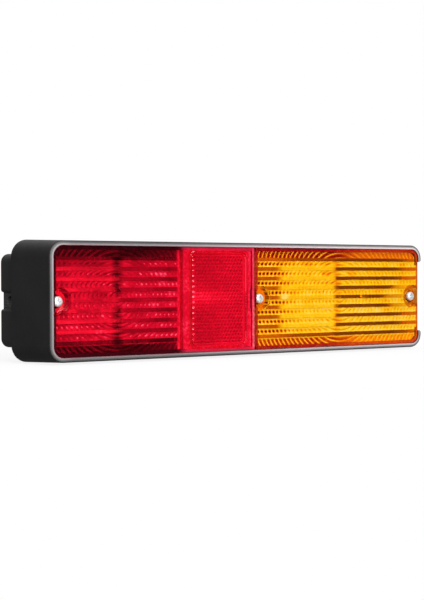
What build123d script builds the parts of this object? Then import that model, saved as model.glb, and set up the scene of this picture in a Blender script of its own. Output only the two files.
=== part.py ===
from build123d import *
import math
import os

# Rear combination lamp for a trailer.  Millimetres.
# Origin: centre of the rear mounting face.  +X to the right seen from behind
# the trailer (facing the lenses), +Z up, the lenses look along -Y.

# ----------------------------------------------------------------- dimensions
# housing envelope
FRONT_W, FRONT_H, FRONT_R = 344.0, 80.0, 10.5     # outline of the front rim
FLARE = 1.5                                       # each side grows this much to the rear
Y_FRONT = -66.0                                   # plane of the front rim
Y_BACK = -18.0                                    # back of the main body
BOSS_W, BOSS_H, BOSS_R = 341.0, 64.0, 6.0         # rear boss, ends at y = 0
LIP = 3.1                                         # rim thickness
Y_LEDGE = -54.5                                   # ledge that carries the gasket
LEDGE = 4.0                                       # ledge width
Y_FLOOR = -21.0                                   # front side of the floor
BOSS_WALL = 3.0
COVER_T = 2.5                                     # rear cover thickness
COVER_GAP = 0.15
# end cut-out that lets the amber light out sideways
CUT_H, Y_CUT = 54.0, -46.0
# lenses
LENS_W, LENS_H, LENS_R = 337.0, 73.0, 7.0         # both lenses together
Y_LENS = -65.2                                    # outer face
LENS_T = 2.5
SKIRT_T = 2.0
Y_SKIRT = -56.0                                   # skirts end on the gasket
RED_END, AMBER_START = 0.6, 2.0                   # edges at the junction
AMBER_SIDE = 171.7                                # outer face of the side window
# reflex reflector
REFLEX_X, REFLEX_W, REFLEX_H = -31.0, 50.0, 66.0  # window in the red lens
# lens screws
SCREW_X = (-163.5, 7.9, 163.6)
SCREW_R, SCREW_HEAD_R, SCREW_HEAD_H, SCREW_L = 1.75, 3.5, 2.6, 14.0
Y_SEAT = -60.1                                    # seat below the seal washer
SEAL_T = 0.8
PILOT_R = 1.80
POCKET_R, SEAT_R = 7.5, 9.0
BEVEL = 3.2                                       # front edge of the side window
PILLAR_R = 4.5
# bulbs
RED_X, AMBER_X = -117.0, 86.0
Y_PIN = -17.5                                     # bayonet pins
PUSH = 1.8                                        # axial travel of a bulb
BASE_R, PIN_R, PIN_REACH = 7.5, 1.0, 8.5
CUP_IN, CUP_OUT = 7.75, 8.6
Y_MOUTH = -31.0
Y_PLATE = -24.2
PLATE_W, PLATE_H, PLATE_T, PLATE_RIM = 56.0, 46.0, 0.8, 3.0
PLATE_SCREW = 18.0
# mounting
STUD_X, STUD_R, STUD_OUT = 150.0, 3.0, 22.0
STUD_NECK = 2.7                                   # rolled-thread blank inside the tray
HEX_AF, HEX_T = 10.0, 4.0
COVER_SCREWS = [(x, z) for x in (-158.0, 0.0, 158.0) for z in (-23.0, 23.0)]
# cable entry
SLOT_H, Y_SLOT, NOTCH = 11.4, -16.5, 2.2
CABLE_Y, CABLE_R = -10.0, 3.5
# terminal block
TERM_X, TERM_W, TERM_H, TERM_D = -32.0, 36.0, 18.0, 12.0
WAYS = (-44.0, -36.0, -28.0, -20.0)
PORT_Z, PORT_R = 18.0, 5.5

os.makedirs("parts", exist_ok=True)


def at(y):
    """Plane facing the front at depth y: local x is X, local y is Z."""
    return Plane.XZ.offset(-y)


def sector(a0, a1, r):
    """Corner points of a pie slice, angles in degrees from +X towards +Z."""
    am = [a0 + (a1 - a0) * i / 4 for i in range(5)]
    return [(0, 0)] + [
        (r * math.cos(math.radians(a)), r * math.sin(math.radians(a))) for a in am
    ]


def save(builder, name):
    builder.part.label = name
    export_step(builder.part, f"parts/{name}.step")


# -------------------------------------------------------------------- housing
depth = Y_BACK - Y_FRONT
taper = math.degrees(math.atan(FLARE / depth))
open_w, open_h, open_r = FRONT_W - 2 * LIP, FRONT_H - 2 * LIP, FRONT_R - LIP
cav_w, cav_h, cav_r = open_w - 2 * LEDGE, open_h - 2 * LEDGE, 4.0

with BuildPart() as housing:
    # tray, slightly wider at the back than at the rim
    with BuildSketch(at(Y_BACK)):
        RectangleRounded(FRONT_W + 2 * FLARE, FRONT_H + 2 * FLARE, FRONT_R + FLARE)
    extrude(amount=depth, taper=taper)
    fillet(housing.faces().sort_by(Axis.Y)[0].edges(), radius=1.3)
    fillet(housing.faces().sort_by(Axis.Y)[-1].edges(), radius=1.6)
    # rear boss, with the notch of the cable entry in its left end
    with BuildSketch(at(Y_BACK)) as boss_outline:
        RectangleRounded(BOSS_W, BOSS_H, BOSS_R)
        with Locations((-BOSS_W / 2, 0)):
            Rectangle(2 * NOTCH, SLOT_H, mode=Mode.SUBTRACT)
        fillet(boss_outline.vertices().group_by(Axis.X)[0].sort_by(Axis.Y)[1:3], radius=NOTCH - 0.2)
    extrude(amount=Y_BACK)
    fillet(housing.faces().sort_by(Axis.Y)[-1].edges(), radius=0.8)
    # pocket for the lenses and cavity below the ledge
    with BuildSketch(at(Y_FRONT)):
        RectangleRounded(open_w, open_h, open_r)
    extrude(amount=Y_FRONT - Y_LEDGE, mode=Mode.SUBTRACT)
    with BuildSketch(at(Y_LEDGE)):
        RectangleRounded(cav_w, cav_h, cav_r)
    extrude(amount=Y_LEDGE - Y_FLOOR, mode=Mode.SUBTRACT)
    # boss cavity and rebate for the rear cover
    with BuildSketch(at(Y_BACK)):
        RectangleRounded(BOSS_W - 2 * BOSS_WALL, BOSS_H - 2 * BOSS_WALL, 3.5)
    extrude(amount=Y_BACK, mode=Mode.SUBTRACT)
    with BuildSketch(at(-COVER_T)):
        RectangleRounded(BOSS_W - BOSS_WALL, BOSS_H - BOSS_WALL, 5.0)
    extrude(amount=-COVER_T - 1, mode=Mode.SUBTRACT)
    # window in the right-hand end wall, with slanted rim ends, and its gasket rebate
    half = CUT_H / 2
    with BuildSketch(at(Y_CUT)):
        with BuildLine():
            Polyline(
                (cav_w / 2, -half), (170.0, -half), (173.0, -half - 2.6), (180, -half - 2.6),
                (180, half + 2.6), (173.0, half + 2.6), (170.0, half), (cav_w / 2, half), close=True,
            )
        make_face()
    extrude(amount=Y_CUT - Y_FRONT + 2, mode=Mode.SUBTRACT)
    with Locations((cav_w / 2 + 2.3, (Y_CUT + 1.5 - 56) / 2, 0)):
        Box(4.6, 56 + Y_CUT + 1.5, CUT_H + 3.0, mode=Mode.SUBTRACT)
    # partitions
    with BuildSketch(at(Y_FLOOR)):
        with Locations((-64.0, 0)):
            Rectangle(3.0, cav_h)
    extrude(amount=Y_FLOOR + 55.8)
    with BuildSketch(at(Y_FLOOR)):
        with Locations((1.5, 0)):
            Rectangle(3.0, cav_h)
    extrude(amount=Y_FLOOR - Y_LEDGE)
    with BuildSketch(at(Y_LEDGE + 4.5)):
        with Locations((1.5, 0)):
            Rectangle(8.0, cav_h)
    extrude(amount=4.5)
    # pillars for the lens screws
    with BuildSketch(at(Y_FLOOR)):
        with Locations(*[(x, 0) for x in SCREW_X]):
            Circle(PILLAR_R)
    extrude(amount=Y_FLOOR - Y_LEDGE)
    with BuildSketch(at(Y_LEDGE)):
        with Locations(*[(x, 0) for x in SCREW_X]):
            Circle(PILOT_R)
    extrude(amount=-14.0, mode=Mode.SUBTRACT)
    # pillars for the reflector plates
    plate_points = [(x + s * PLATE_SCREW, 0) for x in (RED_X, AMBER_X) for s in (-1, 1)]
    with BuildSketch(at(Y_FLOOR)):
        with Locations(*plate_points):
            Circle(3.5)
    extrude(amount=Y_FLOOR - Y_PLATE)
    with BuildSketch(at(Y_PLATE)):
        with Locations(*plate_points):
            Circle(1.2)
    extrude(amount=-5.8, mode=Mode.SUBTRACT)
    # stud pillars with hexagonal sockets
    with BuildSketch(at(Y_BACK)):
        with Locations((-STUD_X, 0), (STUD_X, 0)):
            Circle(6.5)
    extrude(amount=Y_BACK + COVER_T)
    with BuildSketch(at(Y_FLOOR)):
        with Locations((-STUD_X, 0), (STUD_X, 0)):
            Circle(8.0)
    extrude(amount=3.0)
    with BuildSketch(at(Y_FLOOR - 3.0)):
        with Locations((-STUD_X, 0), (STUD_X, 0)):
            RegularPolygon((HEX_AF + 0.2) / 2, 6, major_radius=False)
    extrude(amount=-HEX_T - 0.2, mode=Mode.SUBTRACT)
    with BuildSketch(at(Y_FLOOR)):
        with Locations((-STUD_X, 0), (STUD_X, 0)):
            Circle(STUD_R + 0.05)
    extrude(amount=Y_FLOOR, mode=Mode.SUBTRACT)
    # bosses for the cover screws
    with BuildSketch(at(Y_BACK)):
        with Locations(*COVER_SCREWS):
            Circle(3.5)
    extrude(amount=Y_BACK + COVER_T)
    with BuildSketch(at(-COVER_T)):
        with Locations(*COVER_SCREWS):
            Circle(1.2)
    extrude(amount=12.0, mode=Mode.SUBTRACT)
    # boss for the terminal block screw
    with BuildSketch(at(Y_BACK)):
        with Locations((TERM_X, 0)):
            Circle(3.5)
    extrude(amount=-5.0)
    with BuildSketch(at(Y_FLOOR)):
        with Locations((TERM_X, 0)):
            Circle(1.4)
    extrude(amount=-7.0, mode=Mode.SUBTRACT)
    # openings in the floor: bulb holders, wire port, supply port
    with BuildSketch(at(Y_FLOOR)):
        with Locations((RED_X, 0), (AMBER_X, 0)):
            Circle(CUP_OUT + 0.3)
    extrude(amount=Y_FLOOR - Y_BACK, mode=Mode.SUBTRACT)
    with BuildSketch(at(Y_FLOOR)):
        with Locations((TERM_X, PORT_Z), (TERM_X, -PORT_Z)):
            Circle(PORT_R)
    extrude(amount=Y_FLOOR - Y_BACK, mode=Mode.SUBTRACT)
    # slot in the left end of the boss for the cable grommet, and its guides
    with Locations((-BOSS_W / 2, Y_SLOT / 2, 0)):
        Box(2 * BOSS_WALL + 0.4, -Y_SLOT, SLOT_H, mode=Mode.SUBTRACT)
    with BuildSketch(at(Y_BACK)):
        with Locations((-158.8, 8.0), (-158.8, -8.0)):
            Rectangle(2.0, 6.0)
    extrude(amount=-14.5)
save(housing, "housing")

# ----------------------------------------------------------------- rear cover
with BuildPart() as rear_cover:
    with BuildSketch(at(-COVER_T)):
        RectangleRounded(BOSS_W - BOSS_WALL - 2 * COVER_GAP, BOSS_H - BOSS_WALL - 2 * COVER_GAP, 4.85)
        with Locations((-BOSS_W / 2, 0)):
            Rectangle(2 * NOTCH + 0.2, SLOT_H + 1.2, mode=Mode.SUBTRACT)
    extrude(amount=-COVER_T)
    with BuildSketch(at(-COVER_T)):
        with Locations((-STUD_X, 0), (STUD_X, 0)):
            Circle(STUD_R + 0.3)
        with Locations(*COVER_SCREWS):
            Circle(1.7)
    extrude(amount=-COVER_T, mode=Mode.SUBTRACT)
    # countersinks
    with BuildSketch(at(0)):
        with Locations(*COVER_SCREWS):
            Circle(3.1)
    extrude(amount=1.6, taper=42, mode=Mode.SUBTRACT)
save(rear_cover, "rear_cover")

with BuildPart() as cover_screws:
    with BuildSketch(at(-0.05)):
        with Locations(*COVER_SCREWS):
            Circle(2.95)
    extrude(amount=1.4, taper=42)
    with BuildSketch(at(-0.8)):
        with Locations(*COVER_SCREWS):
            Circle(1.15)
    extrude(amount=9.5)
    # cross recesses
    with BuildSketch(at(-0.05)):
        with Locations(*COVER_SCREWS):
            Rectangle(2.8, 0.6)
            Rectangle(0.6, 2.8)
    extrude(amount=0.8, mode=Mode.SUBTRACT)
save(cover_screws, "cover_screws")

# -------------------------------------------------------------- mounting studs
with BuildPart() as mounting_studs:
    with BuildSketch(at(Y_FLOOR - 3.0 + HEX_T + 0.2)):
        with Locations((-STUD_X, 0), (STUD_X, 0)):
            RegularPolygon(HEX_AF / 2, 6, major_radius=False)
    extrude(amount=HEX_T)
    with BuildSketch(at(Y_FLOOR)):
        with Locations((-STUD_X, 0), (STUD_X, 0)):
            Circle(STUD_NECK)
    extrude(amount=Y_FLOOR - 0.5)
    with BuildSketch(at(0)):
        with Locations((-STUD_X, 0), (STUD_X, 0)):
            Circle(STUD_R)
    extrude(amount=-STUD_OUT)
    chamfer(mounting_studs.faces().sort_by(Axis.Y)[-2:].edges(), length=0.8)
save(mounting_studs, "mounting_studs")

# -------------------------------------------------------------- cable grommet
with BuildPart() as cable_grommet:
    # body behind the wall and nose in the slot
    with Locations((-163.6, -10.05, 0)):
        Box(7.4, 14.7, 17.0)
    with Locations((-167.9, -9.5, 0)):
        Box(1.4, 13.6, SLOT_H - 0.2)
    # ribbed nose
    for z in (-4.0, -2.0, 0.0, 2.0, 4.0):
        with Locations((-168.6, -9.5, z)):
            Box(0.9, 13.6, 0.9)
    with BuildSketch(Plane.YZ.offset(-175)):
        with Locations((CABLE_Y, 0)):
            Circle(CABLE_R)
    extrude(amount=20, mode=Mode.SUBTRACT)
save(cable_grommet, "cable_grommet")

# -------------------------------------------------------------------- gasket
with BuildPart() as lens_gasket:
    with BuildSketch(at(Y_LEDGE)):
        RectangleRounded(open_w - 0.6, open_h - 0.6, open_r - 0.3)
        RectangleRounded(cav_w + 0.4, cav_h + 0.4, cav_r, mode=Mode.SUBTRACT)
        with Locations((1.5, 0)):
            Rectangle(7.4, open_h - 2)
        with Locations((SCREW_X[0], 0), (SCREW_X[1], 0)):
            Circle(PILLAR_R + 0.4)
        with Locations((-open_w / 2 - 3, 0)):
            Rectangle(6.4, 20, mode=Mode.SUBTRACT)
        with Locations((SCREW_X[0], 0), (SCREW_X[1], 0)):
            Circle(2.1, mode=Mode.SUBTRACT)
        with Locations((open_w / 2, 0)):
            Rectangle(10, CUT_H, mode=Mode.SUBTRACT)
    extrude(amount=Y_LEDGE - Y_SKIRT)
    # legs down the sides of the end window and the strip across its foot
    leg_x = cav_w / 2 + 2.4
    for s in (-1, 1):
        with Locations((leg_x, (Y_SKIRT + Y_CUT + 1.5) / 2, s * (CUT_H / 2 + 0.75))):
            Box(4.0, Y_CUT + 1.5 - Y_SKIRT, 1.4)
    with Locations((leg_x, Y_CUT + 0.8, 0)):
        Box(4.0, 1.4, CUT_H + 2.9)
    # the right-hand pillar passes the strip
    with BuildSketch(at(Y_LEDGE)):
        with Locations((SCREW_X[2], 0)):
            Circle(PILLAR_R + 0.3)
    extrude(amount=-12, mode=Mode.SUBTRACT)
save(lens_gasket, "lens_gasket")

# ------------------------------------------------------------------ red lens
plate_d = LENS_T
with BuildPart() as red_lens:
    with BuildSketch(at(Y_SKIRT)) as red_out:
        RectangleRounded(LENS_W, LENS_H, LENS_R)
        with Locations((RED_END + 100, 0)):
            Rectangle(200, 100, mode=Mode.SUBTRACT)
    extrude(amount=Y_SKIRT - Y_LENS)
    fillet(red_lens.faces().sort_by(Axis.Y)[0].edges(), radius=0.5)
    with BuildSketch(at(Y_SKIRT)):
        RectangleRounded(LENS_W - 2 * SKIRT_T, LENS_H - 2 * SKIRT_T, LENS_R - SKIRT_T)
        with Locations((RED_END - SKIRT_T + 100, 0)):
            Rectangle(200, 100, mode=Mode.SUBTRACT)
    extrude(amount=Y_SKIRT - Y_LENS - plate_d, mode=Mode.SUBTRACT)
    # solid wall between the lit field and the reflector
    with BuildSketch(at(Y_SKIRT - 0.2)):
        with Locations((-64.25, 0)):
            Rectangle(3.5, LENS_H - 2 * SKIRT_T)
    extrude(amount=6.5)
    # seat and pocket of the outer screw
    with BuildSketch(at(Y_SKIRT)):
        with Locations((SCREW_X[0], 0)):
            Circle(SEAT_R)
        with Locations((-LENS_W / 2 - 10 + 0.3, 0)):
            Rectangle(20, 40, mode=Mode.SUBTRACT)
    extrude(amount=Y_SKIRT - Y_LENS - 0.5)
    with BuildSketch(at(Y_LENS)):
        with Locations((SCREW_X[0], 0)):
            Circle(POCKET_R)
        with Locations((-LENS_W / 2 - 10 + 1.2, 0)):
            Rectangle(20, 40, mode=Mode.SUBTRACT)
    extrude(amount=Y_LENS - Y_SEAT, mode=Mode.SUBTRACT)
    # tongue that lies under the amber lens at the middle screw
    with BuildSketch(at(Y_SKIRT)):
        with Locations((RED_END + 6.7, 0)):
            RectangleRounded(15.4, 18.0, 3.0)
    extrude(amount=2.5)
    with BuildSketch(at(Y_SKIRT + 1)):
        with Locations((SCREW_X[0], 0), (SCREW_X[1], 0)):
            Circle(2.1)
    extrude(amount=12, mode=Mode.SUBTRACT)
    # window for the reflex reflector with its raised frame
    with BuildSketch(at(Y_LENS + 0.1)):
        with Locations((REFLEX_X, 0)):
            RectangleRounded(REFLEX_W + 3.2, REFLEX_H + 3.0, 6.0)
    extrude(amount=0.7)
    with BuildSketch(at(Y_LENS + plate_d)):
        with Locations((REFLEX_X, 0)):
            RectangleRounded(REFLEX_W, REFLEX_H, 4.5)
    extrude(amount=plate_d + 1, mode=Mode.SUBTRACT)
save(red_lens, "red_lens")

# reflex panel: stepped plate pushed into the window from behind
with BuildPart() as reflex_reflector:
    with BuildSketch(at(Y_LENS + plate_d)):
        with Locations((REFLEX_X, 0)):
            RectangleRounded(REFLEX_W - 0.3, REFLEX_H - 0.3, 4.35)
    extrude(amount=plate_d + 0.3)
    with BuildSketch(at(Y_LENS + plate_d)):
        with Locations((REFLEX_X, 0)):
            RectangleRounded(REFLEX_W + 3.6, REFLEX_H + 2.4, 4.0)
    extrude(amount=-2.2)
save(reflex_reflector, "reflex_reflector")

# backing tray that keeps an air gap behind the prisms
with BuildPart() as reflex_backing:
    with BuildSketch(at(Y_LENS + plate_d + 2.2 + 3.4)):
        with Locations((REFLEX_X, 0)):
            RectangleRounded(REFLEX_W + 3.0, REFLEX_H + 2.0, 3.8)
    extrude(amount=3.4)
    with BuildSketch(at(Y_LENS + plate_d + 2.2)):
        with Locations((REFLEX_X, 0)):
            RectangleRounded(REFLEX_W - 1.0, REFLEX_H - 2.0, 2.8)
    extrude(amount=-1.8, mode=Mode.SUBTRACT)
save(reflex_backing, "reflex_backing")

# ---------------------------------------------------------------- amber lens
win_h = CUT_H - 0.8
with BuildPart() as amber_lens:
    with BuildSketch(at(Y_SKIRT)):
        RectangleRounded(LENS_W, LENS_H, LENS_R)
        with Locations((AMBER_START - 100, 0)):
            Rectangle(200, 100, mode=Mode.SUBTRACT)
    extrude(amount=Y_SKIRT - Y_LENS)
    # side window block
    with BuildSketch(at(Y_CUT - 0.1)):
        with Locations(((AMBER_SIDE + 158) / 2, 0)):
            Rectangle(AMBER_SIDE - 158, win_h)
    extrude(amount=Y_CUT - 0.1 - Y_LENS)
    fillet(amber_lens.faces().sort_by(Axis.Y)[0].edges(), radius=0.5)
    # hollow it
    with BuildSketch(at(Y_SKIRT)):
        RectangleRounded(LENS_W - 2 * SKIRT_T, LENS_H - 2 * SKIRT_T, LENS_R - SKIRT_T)
        with Locations((AMBER_START + SKIRT_T - 100, 0)):
            Rectangle(200, 100, mode=Mode.SUBTRACT)
    extrude(amount=Y_SKIRT - Y_LENS - plate_d, mode=Mode.SUBTRACT)
    with BuildSketch(at(Y_CUT)):
        with Locations(((AMBER_SIDE - 2.5 + 150) / 2, 0)):
            Rectangle(AMBER_SIDE - 2.5 - 150, win_h - 4.0)
    extrude(amount=Y_CUT - Y_LENS - plate_d, mode=Mode.SUBTRACT)
    with BuildSketch(at(Y_CUT)):
        with Locations((155.0, 0)):
            Rectangle(23.0, win_h + 1)
    extrude(amount=Y_CUT - Y_SKIRT, mode=Mode.SUBTRACT)
    # foot of the side window on the gasket strip
    with BuildSketch(at(Y_CUT - 0.1)):
        with Locations((169.2, 0)):
            Rectangle(5.0, win_h)
    extrude(amount=2.4)
    # clearance for the right-hand pillar
    with BuildSketch(at(Y_CUT + 1)):
        with Locations((SCREW_X[2], 0)):
            Circle(PILLAR_R + 0.4)
    extrude(amount=Y_CUT + 1 - Y_LEDGE + 0.1, mode=Mode.SUBTRACT)
    # seats of the middle and outer screws
    with BuildSketch(at(Y_SEAT + 1.5)):
        with Locations((SCREW_X[1], 0)):
            Circle(SEAT_R)
        with Locations((AMBER_START - 20, 0)):
            Rectangle(40, 40, mode=Mode.SUBTRACT)
    extrude(amount=Y_SEAT + 1.5 - Y_LENS - 0.5)
    with BuildSketch(at(Y_LEDGE - 0.1)):
        with Locations((SCREW_X[2], 0)):
            Circle(POCKET_R - 2.2)
    extrude(amount=Y_LEDGE - 0.1 - Y_SEAT)
    with BuildSketch(at(Y_SEAT + 1.5)):
        with Locations((SCREW_X[2], 0)):
            Circle(SEAT_R)
        with Locations((AMBER_SIDE - 1 + 10, 0)):
            Rectangle(20, 40, mode=Mode.SUBTRACT)
    extrude(amount=Y_SEAT + 1.5 - Y_LENS - 0.5)
    # pockets
    with BuildSketch(at(Y_LENS)):
        with Locations((SCREW_X[1], 0)):
            Circle(POCKET_R)
        with Locations((AMBER_START + 1.2 - 20, 0)):
            Rectangle(40, 40, mode=Mode.SUBTRACT)
    extrude(amount=Y_LENS - Y_SEAT, mode=Mode.SUBTRACT)
    with BuildSketch(at(Y_LENS)):
        with Locations((SCREW_X[2], 0)):
            Circle(POCKET_R)
        with Locations((AMBER_SIDE - 2.2 + 10, 0)):
            Rectangle(20, 40, mode=Mode.SUBTRACT)
    extrude(amount=Y_LENS - Y_SEAT, mode=Mode.SUBTRACT)
    # notch over the tongue of the red lens, and the screw holes
    with Locations((AMBER_START + 1.0, -57.3, 0)):
        Box(3.0, 2.6, 19.0, mode=Mode.SUBTRACT)
    with BuildSketch(at(Y_CUT)):
        with Locations((SCREW_X[1], 0), (SCREW_X[2], 0)):
            Circle(2.1)
    extrude(amount=20, mode=Mode.SUBTRACT)
    # bevel along the front edge of the side window
    with BuildSketch(Plane.XY.offset(-40)):
        with BuildLine():
            Polyline(
                (AMBER_SIDE - BEVEL, Y_LENS), (AMBER_SIDE + 1, Y_LENS + BEVEL + 1),
                (AMBER_SIDE + 1, Y_LENS - 1), (AMBER_SIDE - BEVEL, Y_LENS - 1), close=True,
            )
        make_face()
    extrude(amount=80, mode=Mode.SUBTRACT)
save(amber_lens, "amber_lens")

# -------------------------------------------------------------- lens screws
for side, sx in zip(("left", "middle", "right"), SCREW_X):
    with BuildPart() as seal:
        with BuildSketch(at(Y_SEAT)):
            with Locations((sx, 0)):
                Circle(SCREW_HEAD_R + 0.2)
                Circle(SCREW_R + 0.05, mode=Mode.SUBTRACT)
        extrude(amount=SEAL_T)
    save(seal, f"screw_seal_{side}")

    y_head = Y_SEAT - SEAL_T
    with BuildPart() as screw:
        with BuildSketch(at(y_head)):
            with Locations((sx, 0)):
                Circle(SCREW_HEAD_R)
        extrude(amount=SCREW_HEAD_H)
        fillet(screw.faces().sort_by(Axis.Y)[0].edges(), radius=1.5)
        with BuildSketch(at(y_head)):
            with Locations((sx, 0)):
                Circle(SCREW_R)
        extrude(amount=-SCREW_L)
        chamfer(screw.faces().sort_by(Axis.Y)[-1].edges(), length=2.0, length2=1.2)
        # cross recess
        with BuildSketch(at(y_head - SCREW_HEAD_H)):
            with Locations((sx, 0)):
                Rectangle(3.8, 0.8)
                Rectangle(0.8, 3.8)
                Circle(0.9)
        extrude(amount=-1.6, taper=12, mode=Mode.SUBTRACT)
    save(screw, f"lens_screw_{side}")

# ---------------------------------------------------------- reflector plates
for colour, bx in (("red", RED_X), ("amber", AMBER_X)):
    with BuildPart() as plate:
        with BuildSketch(at(Y_PLATE)):
            with Locations((bx, 0)):
                RectangleRounded(PLATE_W, PLATE_H, 3.0)
        extrude(amount=PLATE_T + PLATE_RIM)
        with BuildSketch(at(Y_PLATE - PLATE_T)):
            with Locations((bx, 0)):
                RectangleRounded(PLATE_W - 1.6, PLATE_H - 1.6, 2.2)
        extrude(amount=PLATE_RIM, mode=Mode.SUBTRACT)
        with BuildSketch(at(Y_PLATE)):
            with Locations((bx, 0)):
                Circle(CUP_OUT + 0.05)
            with Locations((bx - PLATE_SCREW, 0), (bx + PLATE_SCREW, 0)):
                Circle(1.6)
        extrude(amount=2, mode=Mode.SUBTRACT)
    save(plate, f"reflector_plate_{colour}")

    # bayonet cup with its two J-shaped slots
    twin = colour == "red"
    with BuildPart() as cup:
        with BuildSketch(at(-3.4)):
            with Locations((bx, 0)):
                Circle(CUP_OUT)
                Circle(CUP_IN, mode=Mode.SUBTRACT)
        extrude(amount=-3.4 - (Y_MOUTH - 0.8))
        with BuildSketch(at(Y_PLATE - PLATE_T)):
            with Locations((bx, 0)):
                Circle(11.5)
                Circle(CUP_IN, mode=Mode.SUBTRACT)
        extrude(amount=0.8)
        for start, y_pin in ((0.0, Y_PIN), (180.0, Y_PIN - 3.0 if twin else Y_PIN)):
            inner = y_pin + PUSH + PIN_R + 0.25
            outer = y_pin - PIN_R - 0.25
            run = [(bx + u, w) for u, w in sector(start - 9.5, start + 34.5, 9.4)]
            entry = [(bx + u, w) for u, w in sector(start + 15.5, start + 34.5, 9.4)]
            with BuildSketch(at(inner)):
                with BuildLine():
                    Polyline(*run, close=True)
                make_face()
            extrude(amount=inner - outer, mode=Mode.SUBTRACT)
            with BuildSketch(at(inner)):
                with BuildLine():
                    Polyline(*entry, close=True)
                make_face()
            extrude(amount=inner - Y_MOUTH + 2, mode=Mode.SUBTRACT)
    save(cup, f"bulb_holder_{colour}")

    contacts = [(bx - 3.3, 0), (bx + 3.3, 0)] if twin else [(bx, 0)]
    # insulating end plate of the cup
    with BuildPart() as end_plate:
        with BuildSketch(at(-3.4)):
            with Locations((bx, 0)):
                Circle(CUP_IN - 0.03)
            with Locations(*contacts):
                Circle(1.2, mode=Mode.SUBTRACT)
        extrude(amount=1.2)
    save(end_plate, f"holder_insulator_{colour}")

    # solder tabs riveted through the end plate
    with BuildPart() as tabs:
        with BuildSketch(at(-3.4)):
            with Locations(*contacts):
                Circle(1.2)
        extrude(amount=1.2)
        for i, (cx, _) in enumerate(contacts):
            s = 1 if i == 0 else -1
            with Locations((cx, -3.15, s * 6.5)):
                Box(3.0, 0.5, 14.0)
    save(tabs, f"holder_tabs_{colour}")

    # spring-loaded contact disc
    with BuildPart() as disc:
        with BuildSketch(at(-8.0)):
            with Locations((bx, 0)):
                Circle(7.4)
            with Locations(*contacts):
                Circle(1.5, mode=Mode.SUBTRACT)
        extrude(amount=1.3)
    save(disc, f"contact_disc_{colour}")
    with BuildPart() as pins:
        with BuildSketch(at(-8.0)):
            with Locations(*contacts):
                Circle(1.5)
        extrude(amount=1.5)
    save(pins, f"contact_pins_{colour}")
    wire_r = 0.22
    coil_r = 2.1 if twin else 3.4
    with BuildPart() as springs:
        for cx, _ in contacts:
            rise = 3.4 - 2 * wire_r - 0.06
            with BuildLine() as coil:
                Helix(
                    pitch=rise / 3, height=rise, radius=coil_r,
                    center=(cx, -4.6 - wire_r - 0.03, 0), direction=(0, -1, 0),
                )
            with BuildSketch(Plane(origin=coil.line @ 0, z_dir=coil.line % 0)):
                Circle(wire_r)
            sweep(path=coil.line, is_frenet=True)
    save(springs, f"contact_springs_{colour}")

    # bulb: cap with pins, glass, filament
    y_end = -9.9
    y_rim = y_end - 19.0
    with BuildPart() as cap:
        with BuildSketch(at(y_end)):
            with Locations((bx, 0)):
                Circle(BASE_R)
        extrude(amount=19.0)
        chamfer(cap.faces().sort_by(Axis.Y)[-1].edges(), length=0.8)
        with BuildSketch(at(y_end)):
            with Locations(*contacts):
                Circle(1.4)
        extrude(amount=-0.4)
        with BuildSketch(Plane.YZ.offset(bx)):
            with Locations((Y_PIN, 0)):
                Circle(PIN_R)
        extrude(amount=PIN_REACH)
        with BuildSketch(Plane.YZ.offset(bx)):
            with Locations((Y_PIN - (3.0 if twin else 0.0), 0)):
                Circle(PIN_R)
        extrude(amount=-PIN_REACH)
    save(cap, f"bulb_cap_{colour}")

    with BuildPart() as glass:
        with BuildSketch(Plane.XY):
            with BuildLine():
                l1 = Line((bx + 6.3, y_rim), (bx + 6.9, y_rim))
                l2 = Line(l1 @ 1, (bx + 6.9, y_rim - 5.0))
                l3 = Spline(l2 @ 1, (bx + 12.4, -47.2), tangents=((0, -1), (0, -1)))
                l4 = CenterArc((bx, -47.2), 12.4, 0, -90)
                l5 = Line(l4 @ 1, (bx, -58.8))
                l6 = CenterArc((bx, -47.2), 11.6, -90, 90)
                l7 = Spline(l6 @ 1, (bx + 6.3, y_rim - 5.0), tangents=((0, 1), (0, 1)))
                l8 = Line(l7 @ 1, l1 @ 0)
            make_face()
        revolve(axis=Axis((bx, 0, 0), (0, 1, 0)))
    save(glass, f"bulb_glass_{colour}")

    # glass stem, support posts and coiled filaments
    fil = [(-3.0, -49.3), (3.0, -42.5)] if twin else [(0.0, -49.3)]
    with BuildPart() as filament:
        with BuildSketch(at(y_rim)):
            with Locations((bx, 0)):
                Circle(4.0)
        extrude(amount=6.0, taper=14)
        for dz, fy in fil:
            for s in (-1, 1):
                with BuildSketch(at(y_rim - 5.5)):
                    with Locations((bx + s * 2.2, dz * 0.4)):
                        Circle(0.35)
                extrude(amount=y_rim - 5.5 - fy)
            with BuildSketch(Plane.YZ.offset(bx - 2.6)):
                with Locations((fy, dz * 0.4)):
                    Circle(0.55)
            extrude(amount=5.2)
    save(filament, f"bulb_filament_{colour}")

with BuildPart() as plate_screws:
    with BuildSketch(at(Y_PLATE - PLATE_T)):
        with Locations(*plate_points):
            Circle(2.8)
    extrude(amount=1.8)
    fillet(plate_screws.faces().sort_by(Axis.Y)[:4].edges(), radius=0.9)
    with BuildSketch(at(Y_PLATE - PLATE_T)):
        with Locations(*plate_points):
            Circle(1.15)
    extrude(amount=-6.2)
    with BuildSketch(at(Y_PLATE - PLATE_T - 1.8)):
        with Locations(*plate_points):
            Rectangle(3.0, 0.7)
            Rectangle(0.7, 3.0)
    extrude(amount=-1.0, mode=Mode.SUBTRACT)
save(plate_screws, "plate_screws")

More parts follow.
